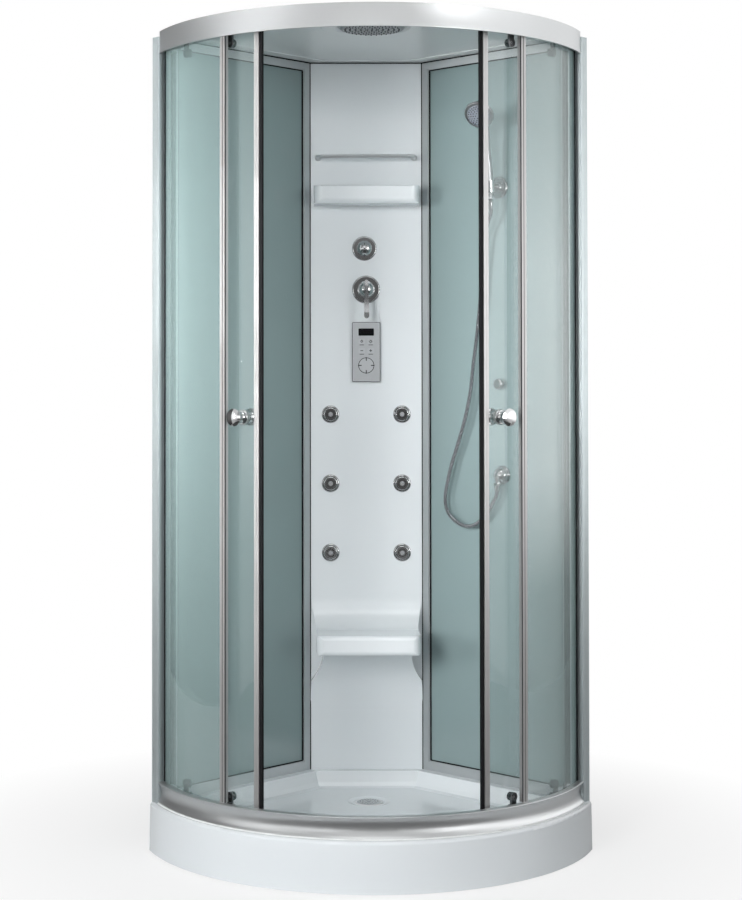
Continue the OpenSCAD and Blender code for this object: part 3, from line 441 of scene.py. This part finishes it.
def addCopies(whole, shape, places=(Matrix.Identity(4),)):
    # the shape joins the whole at every place
    mesh = bpy.data.meshes.new("copy")
    shape.to_mesh(mesh)
    shape.free()
    for place in places:
        copy = mesh.copy()
        copy.transform(place)
        whole.from_mesh(copy)
        bpy.data.meshes.remove(copy)
    bpy.data.meshes.remove(mesh)
    return whole


def ringPlaces(base, rings, height):
    # evenly spaced places on circles round z
    return [base @ Matrix.Rotation(i * math.tau / count, 4, "Z") @ Matrix.Translation((radius, 0, height))
            for radius, count in rings for i in range(count)]


def onColumn(x, height, out=0.0):
    # z comes out of the column's face, y is up
    return Matrix.Translation((x, columnFace - out, height)) @ Matrix.Rotation(math.pi / 2, 4, "X")


def offWall(along, out, height, side=1):
    # z comes out of the wall, y is up
    turn = Matrix.Rotation(-math.pi / 4, 4, "Z") @ Matrix.Rotation(math.pi / 2, 4, "X")
    place = Matrix.Translation(wallPoint(along, out, height)) @ turn
    return place if side > 0 else Matrix.Scale(-1, 4, (1, 0, 0)) @ place


def middle(name):
    low, high = rest[name]
    return Vector([(a + b) / 2 for a, b in zip(low, high)])


def placed(shape, matrix):
    bmesh.ops.transform(shape, matrix=matrix, verts=shape.verts)
    return shape


# doors: soft washers under the knobs, and the screws that clamp the roller hangers. Angles are in degrees from
# the middle of the front, and profiles are radius and height.
doors = {
    "opening": {-1: 30.8, 1: 29.3},     # where each door's leading edge stands: left, right
    "knobBack": 5.4, "knobHeight": 1.166,
    "hangerBacks": (9.0, 28.0), "hangerHeights": (0.198, 2.128),
    "washer": [(0.0148, 0.0025), (0.0198, 0.0025), (0.0198, 0.0034), (0.0193, 0.0038), (0.0148, 0.0038),
               (0.0148, 0.0025)],
    "screw": [(0, 0.0072), (0.0021, 0.0072), (0.0021, 0.0089), (0.0038, 0.0089), (0.0043, 0.0084),
              (0.0043, 0.0062), (0, 0.0062)],
}


def onDoor(side, back, height):
    # z comes out of the door's glass, y is up
    angle = math.radians(side * (doors["opening"][side] + back))
    return (Matrix.Translation((0, arcCentre, 0)) @ Matrix.Rotation(angle, 4, "Z")
            @ Matrix.Translation((0, -doorRadius, height)) @ Matrix.Rotation(math.pi / 2, 4, "X"))


def dressDoor(look, side, body):
    knob = onDoor(side, look["knobBack"], look["knobHeight"])
    bothSides = (knob, knob @ Matrix.Rotation(math.pi, 4, "Y"))
    washers = addCopies(bmesh.new(), turned(look["washer"], 40), bothSides)
    newPiece(body + "KnobWashers", washers, "washer", body)
    spots = [onDoor(side, back, height) for back in look["hangerBacks"] for height in look["hangerHeights"]]
    screws = addCopies(bmesh.new(), turned(look["screw"], 24), spots)
    newPiece(body + "HangerScrews", screws, "screw", body)


dressDoor(doors, -1, "door_left")
dressDoor(doors, 1, "door_right")
print("doors dressed")


# rails: the rubber stop that the photograph shows by the right post, and the sealant along the foot
railTrim = {
    "stopAngle": (60.3, 61.5), "stopRadius": (0.5806, 0.5867), "stopHeight": (0.1757, 0.2), "stopSlope": 0.006,
    "sealantFrom": 0.6121, "sealantWidth": 0.0032, "sealantHollow": (0.45, 0.4), "sealantReach": 68.3,
    "ledge": 0.13,
}


def dressRails(look):
    near, far = look["stopRadius"]
    low, high = look["stopHeight"]
    start, end = (math.radians(a) for a in look["stopAngle"])
    section = [(near, low), (far, low), (far, high), (near, high - look["stopSlope"])]
    newPiece("doorStop", arcStrip(section, start, end, 4), "seal", "root")
    edge, wide, foot = look["sealantFrom"], look["sealantWidth"], look["ledge"]
    out, up = (wide * share for share in look["sealantHollow"])
    reach = math.radians(look["sealantReach"])
    section = [(edge, foot), (edge + wide, foot), (edge + out, foot + up), (edge, foot + wide)]
    newPiece("railSealant", arcStrip(section, -reach, reach), "sealant", "root", 60)


# stiles and posts: a black strip in each fixed stile's groove, which is painted shade of the groove, the black
# edge strip of each fixed stile, and the rubber down each wall post
stileTrim = {
    "span": (0.1865, 2.1495),
    "stileAngle": 39.6, "grooveBack": 0.75, "grooveHalf": 0.11, "grooveRadius": (0.596, 0.5965),
    "lipWide": 0.12, "lipRadius": (0.5937, 0.5957),
    "postAngle": (68.3, 69.0), "postRadius": (0.5925, 0.5948),
}


def strip(look, side, angles, radii):
    # an upright strip between two angles
    start, end = sorted(math.radians(side * a) for a in angles)
    (near, far), (low, high) = radii, look["span"]
    return arcStrip([(near, low), (far, low), (far, high), (near, high)], start, end, 3)


def dressStiles(look):
    free, half = look["stileAngle"], look["grooveHalf"]
    groove = free + look["grooveBack"]
    for side, name in ((-1, "left"), (1, "right")):
        # painted shade: a black strip that fills the stile's groove, where the groove falls dark
        grooveShade = strip(look, side, (groove - half, groove + half), look["grooveRadius"])
        newPiece(name + "StileGrooveShade", grooveShade, "seal", "root")
        blackBand = strip(look, side, (free - look["lipWide"], free), look["lipRadius"])
        newPiece(name + "StileLip", blackBand, "seal", "root")
        rubber = strip(look, side, look["postAngle"], look["postRadius"])
        newPiece(name + "PostRubber", rubber, "seal", "root")


dressRails(railTrim)
dressStiles(stileTrim)
print("rails and stiles dressed")


# back walls: black glazing rubber inside the frames, gaskets down the column's edges and under the roof.
# "opening" is the glass that shows, along the wall and up; "frame" is the frame's length along the wall.
wallTrim = {
    "opening": ((0.283, 0.762), (0.158, 2.161)), "rubberBack": 0.0199,
    "rubberCorner": 0.0032, "rubberBand": 0.0026, "rubberThick": 0.0045,
    "columnHalf": 0.163, "gasketRadius": 0.0021, "gasketSpan": (0.1302, 2.185), "gasketShift": 0.0005,
    "frame": (0.258, 0.787), "frameFront": 0.027, "roof": 2.186, "roofGasket": 0.0032, "roofGasketEdge": 0.0006,
}


def dressWalls(look):
    (first, last), (low, high) = look["opening"]
    (foot, top), radius, shift = look["gasketSpan"], look["gasketRadius"], look["gasketShift"]
    for side, name in ((1, "right"), (-1, "left")):
        rubber = roundedFrame(last - first, high - low, look["rubberCorner"], look["rubberBand"],
                              look["rubberThick"])
        place = offWall((first + last) / 2, look["rubberBack"], (low + high) / 2, side)
        newPiece(name + "GlazingRubber", placed(rubber, place), "seal", "root")
        bead = turned([(0, foot), (radius, foot), (radius, top), (0, top)], 12)
        place = Matrix.Translation((side * (look["columnHalf"] + shift), columnFace - shift, 0))
        newPiece(name + "ColumnGasket", placed(bead, place), "seal", "root")


def roofGasket(look):
    wide, edge = look["roofGasket"], look["roofGasketEdge"]
    height = look["roof"] - wide / 2
    first, last = look["frame"]
    shape = bmesh.new()
    for side in (1, -1):
        place = offWall((first + last) / 2, look["frameFront"] + wide / 2, height, side)
        addCopies(shape, block((last - first, wide, wide), edge), [place])
    addCopies(shape, block((2 * look["columnHalf"], wide, wide), edge), [onColumn(0, height, wide / 2)])
    newPiece("roofGasket", shape, "seal", "root")


dressWalls(wallTrim)
roofGasket(wallTrim)
print("walls dressed")


# jets: a black ring round each ball, which is painted shade in the gap to its body, and a spray insert with its
# nubs in each nozzle
jets = {
    "across": 0.104, "top": 1.159, "step": 0.201, "rows": 3,
    # the ring of painted shade in the gap between ball and body, as radius and height
    "blackBand": [(0.0113, 0.0080), (0.0117, 0.0080), (0.0117, 0.0094), (0.01045, 0.0094), (0.0113, 0.0080)],
    "insert": [(0, 0.0117), (0.0064, 0.0117), (0.0064, 0.0121), (0.0060, 0.0125), (0, 0.0126)],
    "nub": [(0, 0), (0.0009, 0), (0.0007, 0.0008), (0.0003, 0.0008), (0.0003, 0.0003), (0, 0.0003)],
    "nubRings": ((0.0041, 6),), "nubHeight": 0.0124, "middleNub": 0.0125,
}


def dressJets(look):
    places = [onColumn(x, look["top"] - row * look["step"])
              for row in range(look["rows"]) for x in (-look["across"], look["across"])]
    # painted shade: a black ring in the gap between each ball and its body
    newPiece("jetGapShade", addCopies(bmesh.new(), turned(look["blackBand"], 36), places), "seal", "root")
    for number, place in enumerate(places, 1):
        body = "jet_nozzle_%d" % number
        insert = placed(turned(look["insert"], 28), place)
        newPiece("sprayInsert%d" % number, insert, "insert", body)
        spots = ringPlaces(place, look["nubRings"], look["nubHeight"])
        spots.append(place @ Matrix.Translation((0, 0, look["middleNub"])))
        nubs = addCopies(bmesh.new(), turned(look["nub"], 10), spots)
        newPiece("sprayNubs%d" % number, nubs, "seal", body)


dressJets(jets)
print("jets dressed")


# keypad: a black rim round the case, which is painted shade at the case's edges, a fine one round the display,
# and plain printed marks. Heights are from the middle of the case, and faces are out from the column.
keypad = {
    "height": 1.34, "face": 0.010, "keyFace": 0.0104,
    "caseShadeRim": (0.082, 0.174, 0.0032, 0.0026, 0.0085),         # width, height, corner, band, thickness
    "displayRise": 0.058, "displayRim": (0.0456, 0.0216, 0.0028, 0.0011, 0.0005), "rimSunk": 0.0001,
    "keyAcross": 0.013, "keyRows": (0.031, 0.004), "keys": ("power", "lamp", "less", "more"),
    "lineDrop": 0.0103, "lineSize": (0.0130, 0.0018), "printRise": 0.00005,
    "ringDrop": 0.039, "ringFace": 0.0106, "ringPaint": (0.0213, 0.0233), "paintDepth": 0.0003,
    "tick": (0.0105, 0.0028), "tickMiddle": 0.0188,
}
marks = {
    "ring": [(0.0018, -0.0001), (0.0036, -0.0001), (0.0036, 0.0001), (0.0018, 0.0001), (0.0018, -0.0001)],
    "powerBar": (0.0018, 0.0036, 0, 0.0036),
    "ray": (0.0017, 0.0012, 0.0051), "rays": 8,
    "longBar": 0.0082, "thinBar": 0.0020,
    "thick": 0.0002, "edge": 0.00004,
}


def bar(width, height, x=0.0, y=0.0):
    shape = block((width, height, marks["thick"]), marks["edge"])
    return placed(shape, Matrix.Translation((x, y, 0)))


def turns(count):
    return [Matrix.Rotation(i * math.tau / count, 4, "Z") for i in range(count)]


def keyMark(look, kind):
    mark = bmesh.new()
    if kind in ("power", "lamp"):
        addCopies(mark, turned(look["ring"], 28))
    if kind == "power":
        addCopies(mark, bar(*look["powerBar"]))
    if kind == "lamp":
        addCopies(mark, bar(*look["ray"]), turns(look["rays"]))
    if kind in ("more", "less"):
        addCopies(mark, bar(look["longBar"], look["thinBar"]))
    if kind == "more":
        addCopies(mark, bar(look["thinBar"], look["longBar"]))
    return mark


def dressKeypad(look):
    height, printRise = look["height"], look["printRise"]
    rim = placed(roundedFrame(*look["displayRim"]),
                 onColumn(0, height + look["displayRise"], look["face"] - look["rimSunk"]))
    newPiece("displayRim", rim, "chrome", "root")
    lines = bmesh.new()
    for index, kind in enumerate(look["keys"]):
        x = look["keyAcross"] * (1 if index % 2 else -1)
        y = height + look["keyRows"][index // 2]
        mark = placed(keyMark(marks, kind), onColumn(x, y, look["keyFace"] + printRise))
        newPiece("keyMark%d" % (index + 1), mark, "print", "key_%d" % (index + 1))
        addCopies(lines, bar(*look["lineSize"]), [onColumn(x, y - look["lineDrop"], look["face"] + printRise)])
    newPiece("keyLines", lines, "print", "root")
    (near, far), depth = look["ringPaint"], look["paintDepth"]
    paint = turned([(near, -depth), (far, -depth), (far, printRise), (near, printRise), (near, -depth)], 64)
    addCopies(paint, bar(*look["tick"], look["tickMiddle"]), turns(4))
    ring = placed(paint, onColumn(0, height - look["ringDrop"], look["ringFace"]))
    newPiece("ringPaint", ring, "print", "keypad_ring")
    # painted shade: a black rim round the case, where its edges fall dark
    newPiece("caseShadeRim", placed(roundedFrame(*look["caseShadeRim"]), onColumn(0, height)), "print", "root")


dressKeypad(keypad)
print("keypad dressed")


# overhead shower: rings of rubber nozzles, as radius and count
overhead = {
    "rings": ((0.016, 8), (0.030, 14), (0.044, 20), (0.058, 26), (0.071, 32)),
    "face": 2.174, "ringRise": 0.0008,
    "nozzle": [(0, 0), (0.0020, 0), (0.0013, -0.0030), (0.0006, -0.0030), (0.0006, -0.0012), (0, -0.0012)],
}


def dressOverhead(look):
    centre = middle("overhead_shower")
    base = Matrix.Translation((centre.x, centre.y, look["face"]))
    spots = ringPlaces(base, look["rings"], look["ringRise"]) + [base]
    nozzles = addCopies(bmesh.new(), turned(look["nozzle"], 12), spots)
    newPiece("overheadNozzles", nozzles, "nozzle", "root")


# hand shower: its grey face plate and nozzles, set on the head that the holder's cup carries
handShower = {
    "holder": (0.543, 0.066, 1.799), "lean": 6, "turn": 20,
    "headOut": 0.036, "headUp": 0.203, "pitch": 32,
    "plate": [(0, 0.0121), (0.0318, 0.0121), (0.0318, 0.0133), (0.0308, 0.0139), (0.018, 0.0145), (0, 0.0147)],
    "rings": ((0.0085, 6), (0.0155, 12), (0.022, 18), (0.028, 24)), "ringRise": 0.0141,
    "nozzle": [(0, 0), (0.0018, 0), (0.0013, 0.0016), (0.0005, 0.0016), (0.0005, 0.0008), (0, 0.0008)],
}


def handsetHead(look):
    # z comes out of the spray face
    lean, turn, pitch = (math.radians(look[angle]) for angle in ("lean", "turn", "pitch"))
    cup = offWall(*look["holder"]) @ Matrix.Rotation(lean - math.pi / 2, 4, "X") @ Matrix.Rotation(turn, 4, "Z")
    head = Matrix.Translation((0, -look["headOut"], look["headUp"]))
    return cup @ head @ Matrix.Rotation(pitch + math.pi / 2, 4, "X")


def dressHandShower(look):
    head = handsetHead(look)
    newPiece("handFacePlate", placed(turned(look["plate"], 48), head), "facePlate", "hand_shower")
    spots = ringPlaces(head, look["rings"], look["ringRise"])
    nozzles = addCopies(bmesh.new(), turned(look["nozzle"], 12), spots)
    newPiece("handNozzles", nozzles, "nozzle", "hand_shower")


dressOverhead(overhead)
dressHandShower(handShower)
print("shower heads dressed")


# small metal: the waste's screw, and the nuts on the mixer's pipes behind the column
smallMetal = {
    "screw": [(0, 0.0012), (0.0022, 0.0014), (0.0052, 0.0006), (0.0056, -0.0006), (0, -0.0006)],
    "screwHeight": 0.088,
    "nut": [(0.0106, 0), (0.0170, 0), (0.0178, 0.0015), (0.0178, 0.0115), (0.0170, 0.013), (0.0106, 0.013),
            (0.0106, 0)],
    "nutBack": 0.0655, "nutsAcross": (-0.042, 0.042), "nutHeight": 1.522,
}


def dressSmall(look):
    centre = middle("drain_cover")
    screw = placed(turned(look["screw"], 28), Matrix.Translation((centre.x, centre.y, look["screwHeight"])))
    newPiece("wasteScrew", screw, "screw", "drain_cover")
    spots = [Matrix.Translation((x, columnFace + look["nutBack"], look["nutHeight"]))
             @ Matrix.Rotation(-math.pi / 2, 4, "X") for x in look["nutsAcross"]]
    newPiece("inletNuts", addCopies(bmesh.new(), turned(look["nut"], 6), spots), "brass", "root", 20)


dressSmall(smallMetal)
print("small metal dressed")


# hose: its middle line as places along the wall, out from it and up, and four rings to a rib
hose = {
    "route": [
        (0.543, 0.060, 1.741), (0.543, 0.0584, 1.726), (0.527, 0.054, 1.697), (0.512, 0.051, 1.658),
        (0.503, 0.049, 1.603), (0.494, 0.047, 1.484), (0.481, 0.046, 1.386), (0.468, 0.046, 1.307),
        (0.457, 0.046, 1.228), (0.439, 0.046, 1.157), (0.415, 0.046, 1.089), (0.384, 0.046, 1.011),
        (0.366, 0.046, 0.948), (0.362, 0.046, 0.910), (0.374, 0.046, 0.879), (0.398, 0.046, 0.859),
        (0.423, 0.046, 0.848), (0.447, 0.046, 0.845), (0.471, 0.046, 0.851), (0.494, 0.046, 0.865),
        (0.515, 0.046, 0.884), (0.532, 0.046, 0.909), (0.547, 0.0455, 0.932), (0.552, 0.045, 0.951),
    ],
    "lineSteps": 12,                             # short straight runs between two points of the route
    "diameter": 0.012, "sides": 14,
    "ribs": 300, "rib": (0.76, 0.94, 1.0, 0.94),
    "reach": 0.003,                              # how far to each side of a ring its direction is taken
    "stretch": ((0.37, 0.046, 0.99), (0.53, 0.055, 1.70)),     # two places on the wall, out from it and up
}


def smoothLine(points, steps):
    # a line through every point, with the same rounding as the CAD route
    line = []
    for i in range(len(points) - 1):
        a, b, c, d = (points[max(0, min(len(points) - 1, i + k))] for k in (-1, 0, 1, 2))
        for step in range(steps):
            t = step / steps
            line.append(0.5 * (2 * b + (c - a) * t + (2 * a - 5 * b + 4 * c - d) * t * t
                               + (3 * b - a - 3 * c + d) * t ** 3))
    return line + [points[-1]]


def lineRuns(line):
    # how far along the line each of its points is
    runs = [0.0]
    for one, two in zip(line, line[1:]):
        runs.append(runs[-1] + (two - one).length)
    return runs


def spotAt(line, runs, run):
    run = max(0, min(runs[-1], run))
    i = max(0, min(len(line) - 2, next((k for k, r in enumerate(runs) if r > run), len(runs)) - 1))
    share = (run - runs[i]) / max(1e-9, runs[i + 1] - runs[i])
    return line[i].lerp(line[i + 1], share)


def straightTube(sides, rings):
    # of radius 1 and height 1, with open ends that the nuts hide
    shape = bmesh.new()
    bmesh.ops.create_cone(shape, cap_ends=False, segments=sides, radius1=1, radius2=1, depth=1)
    bmesh.ops.translate(shape, verts=shape.verts, vec=(0, 0, 0.5))
    uprights = [e for e in shape.edges if abs(e.verts[0].co.z - e.verts[1].co.z) > 0.5]
    bmesh.ops.subdivide_edges(shape, edges=uprights, cuts=rings - 1, use_grid_fill=True)
    return shape


def ringFrame(line, runs, run, reach):
    # a ring's middle and its two directions, the first out from the wall
    out = Vector((-rootHalf, -rootHalf, 0))
    along = (spotAt(line, runs, run + reach) - spotAt(line, runs, run - reach)).normalized()
    side = (out - along * out.dot(along)).normalized()
    return spotAt(line, runs, run), side, along.cross(side)


def makeHose(look):
    # a straight tube first, then each ring goes to its place on the line
    line = smoothLine([wallPoint(*p) for p in look["route"]], look["lineSteps"])
    runs = lineRuns(line)
    length = runs[-1]
    perRib = len(look["rib"])
    rings = look["ribs"] * perRib
    shape = straightTube(look["sides"], rings)
    frames = [ringFrame(line, runs, length * index / rings, look["reach"]) for index in range(rings + 1)]
    for vert in shape.verts:
        index = round(vert.co.z * rings)
        spot, side, cross = frames[index]
        radius = look["diameter"] / 2 * look["rib"][index % perRib]
        vert.co = spot + (side * vert.co.x + cross * vert.co.y) * radius
    piece = newPiece("ribbedHose", shape, "hose", None, 80)
    start, end = (wallPoint(*p) for p in look["stretch"])
    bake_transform(piece)
    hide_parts("hose")
    wallPoint(*look["route"][-1])
    print("hose length", round(length, 3))


makeHose(hose)


# stage: a pale floor that the cabin shades, white surroundings, and soft lamps
studio = {
    "floorColour": screen(238, 239, 240), "floorRadius": 30, "floorFade": (0.65, 1.4), "floorShadow": 0.28,
    "ambient": 0.27,
    "lamps": {
        "side": {"place": (-3.4, -1.5, 1.5), "target": (0.35, 0.2, 1.6), "size": (0.9, 1.3), "power": 9.2,
                 "spread": 38, "mirrored": True},
        "key": {"place": (-2.2, -4.1, 1.9), "target": (0.05, 0.2, 0.9), "size": (1.4, 1.8), "power": 15.2,
                "spread": 50, "mirrored": False},
        "fill": {"place": (2.3, -2.8, 1.6), "target": (-0.2, 0.1, 1.6), "size": (1.0, 1.6), "power": 3.8,
                 "spread": 50, "mirrored": True},
        "top": {"place": (0, -1.7, 4.3), "target": (0, 0.1, 0), "size": (2.4, 2.4), "power": 44,
                "spread": 180, "mirrored": True},
    },
}

# cards, seen only in reflections: two points on the plan, and how bright they look at each height
cards = {
    "left": {"ends": ((-2.6, -0.75), (-2.6, 3.0)),
             "glow": ((0.0, 0.06), (0.4, 0.06), (0.9, 0.16), (1.5, 0.18), (2.1, 0.1), (3.5, 0.15))},
    "leftNear": {"ends": ((-4.6, -4.4), (-2.6, -0.75)),
                 "glow": ((0.0, 0.6), (0.6, 0.65), (1.0, 1.35), (1.9, 1.35), (2.4, 0.8), (3.5, 0.8))},
    "backLeft": {"ends": ((-2.6, 3.0), (-0.9, 7.0)), "glow": ((0.0, 0.45), (3.5, 0.5))},
    "right": {"ends": ((2.9, 3.0), (2.9, -0.4)),
              "glow": ((0.0, 0.35), (0.4, 0.42), (0.9, 1.8), (1.7, 1.9), (2.3, 1.2), (3.5, 1.2))},
    "rightNear": {"ends": ((2.9, -0.4), (4.6, -4.4)),
                  "glow": ((0.0, 0.7), (0.6, 0.75), (1.0, 2.1), (1.9, 2.1), (2.4, 1.3), (3.5, 1.3))},
    "backRight": {"ends": ((0.9, 7.0), (2.9, 3.0)), "glow": ((0.0, 0.45), (3.5, 0.5))},
    "frontLeft": {"ends": ((-1.3, -6.2), (-4.6, -4.4)),
                  "glow": ((0.0, 0.1), (0.6, 0.12), (1.0, 2.2), (1.6, 2.2), (2.2, 0.4), (4.6, 0.5))},
    "front": {"ends": ((1.1, -6.2), (-1.3, -6.2)),
              "glow": ((0.0, 0.15), (0.8, 0.12), (1.2, 0.1), (2.2, 0.15), (2.6, 1.15), (4.6, 1.15))},
    "frontRight": {"ends": ((4.6, -4.4), (1.1, -6.2)),
                   "glow": ((0.0, 0.1), (0.6, 0.15), (1.0, 1.2), (1.7, 1.3), (2.2, 0.6), (4.6, 0.6))},
}
flatCards = {
    "floorCard": {"corners": ((-3.0, -4.6), (3.0, -0.56)), "height": 0.004, "glow": 0.08},
    "roofCard": {"corners": ((-3.0, -5.0), (3.0, 2.5)), "height": 4.7, "glow": 0.25},
}
cardFoot = 0.02
brightest = 2.5      # no card glows more than this


def stageObject(name, shape, material):
    mesh = bpy.data.meshes.new(name)
    shape.to_mesh(mesh)
    shape.free()
    mesh.materials.append(material)
    thing = bpy.data.objects.new(name, mesh)
    bpy.context.collection.objects.link(thing)
    return thing


def floorPaint(look):
    # shaded round the cabin's foot, and plain white further out
    finish = Finish("floorPaint", Base_Color=look["floorColour"], Roughness=0.9, Specular_IOR_Level=0.0)
    spot = finish.add("ShaderNodeTexCoord", give="Object")
    far = finish.add("ShaderNodeVectorMath", {"operation": "LENGTH"}, give="Value", Vector=spot)
    near, out = look["floorFade"]
    clear = finish.add("ShaderNodeMapRange", Value=far, From_Min=near, From_Max=out)
    white = finish.tree.nodes.new("ShaderNodeEmission")
    seen = finish.add("ShaderNodeLightPath", give="Is Camera Ray")
    mix = finish.tree.nodes.new("ShaderNodeMixShader")
    plug(finish.tree, mix.inputs[0], seen * (1 - look["floorShadow"] * (1 - clear)))
    finish.tree.links.new(finish.shader.outputs[0], mix.inputs[1])
    finish.tree.links.new(white.outputs[0], mix.inputs[2])
    finish.tree.links.new(mix.outputs[0], finish.tree.nodes["Material Output"].inputs["Surface"])
    return finish.material


def makeFloor(look):
    shape = bmesh.new()
    bmesh.ops.create_circle(shape, cap_ends=True, segments=96, radius=look["floorRadius"])
    stageObject("floor", shape, floorPaint(look))


def glowCloth(name, stops):
    # black cloth that glows by height
    finish = Finish(name, Base_Color=(0, 0, 0), Roughness=1.0, Specular_IOR_Level=0.0,
                    Emission_Strength=brightest)
    height = finish.add("ShaderNodeSeparateXYZ", give="Z", Vector=finish.place())
    top = stops[-1][0]
    ramp = [(z / top, glow / brightest) for z, glow in stops]
    finish.set("Emission_Color", finish.add("ShaderNodeValToRGB", {"stops": ramp}, Fac=height * (1 / top)))
    return finish.material


def hangCard(name, shape, cloth):
    card = stageObject(name, shape, cloth)
    card.visible_camera = card.visible_diffuse = card.visible_shadow = card.visible_transmission = False


def uprightCard(name, look):
    shape = bmesh.new()
    ends = [shape.verts.new((x, y, cardFoot)) for x, y in look["ends"]]
    raised = vertsOf(bmesh.ops.extrude_edge_only(shape, edges=[shape.edges.new(ends)]))
    bmesh.ops.translate(shape, vec=(0, 0, look["glow"][-1][0]), verts=raised)
    hangCard(name + "Card", shape, glowCloth(name + "Cloth", look["glow"]))


def flatCard(name, look):
    (x1, y1), (x2, y2) = look["corners"]
    shape = placed(sheet(x2 - x1, y2 - y1), Matrix.Translation(((x1 + x2) / 2, (y1 + y2) / 2, look["height"])))
    hangCard(name, shape, glowCloth(name + "Cloth", ((0, look["glow"]), (10, look["glow"]))))


def whiteWorld(ambient):
    # white where the camera, a mirror image or glass shows it, and dimmer as a light
    world = bpy.data.worlds.new("studio")
    bpy.context.scene.world = world
    world.use_nodes = True
    tree = world.node_tree
    back = tree.nodes["Background"]
    back.inputs["Color"].default_value = (1, 1, 1, 1)
    rays = tree.nodes.new("ShaderNodeLightPath")
    camera, glossy, through = (Wire(tree, rays.outputs["Is %s Ray" % kind])
                               for kind in ("Camera", "Glossy", "Transmission"))
    seen = camera + glossy + through
    seen = seen.maths("MINIMUM", seen, 1.0)
    plug(tree, back.inputs["Strength"], ambient + (1 - ambient) * seen)


def hangLamp(name, look):
    data = bpy.data.lights.new(name, "AREA")
    data.shape = "RECTANGLE"
    data.size, data.size_y = look["size"]
    data.energy = look["power"]
    data.spread = math.radians(look["spread"])
    light = bpy.data.objects.new(name, data)
    bpy.context.collection.objects.link(light)
    light.visible_glossy = look["mirrored"]
    aim = Vector(look["target"]) - Vector(look["place"])
    light.matrix_world = Matrix.Translation(look["place"]) @ aim.to_track_quat("-Z", "Y").to_matrix().to_4x4()


makeFloor(studio)
for name, look in cards.items():
    uprightCard(name, look)
for name, look in flatCards.items():
    flatCard(name, look)
whiteWorld(studio["ambient"])
for name, look in studio["lamps"].items():
    hangLamp(name, look)
bpy.context.scene.view_settings.view_transform = "Standard"
print("stage set")
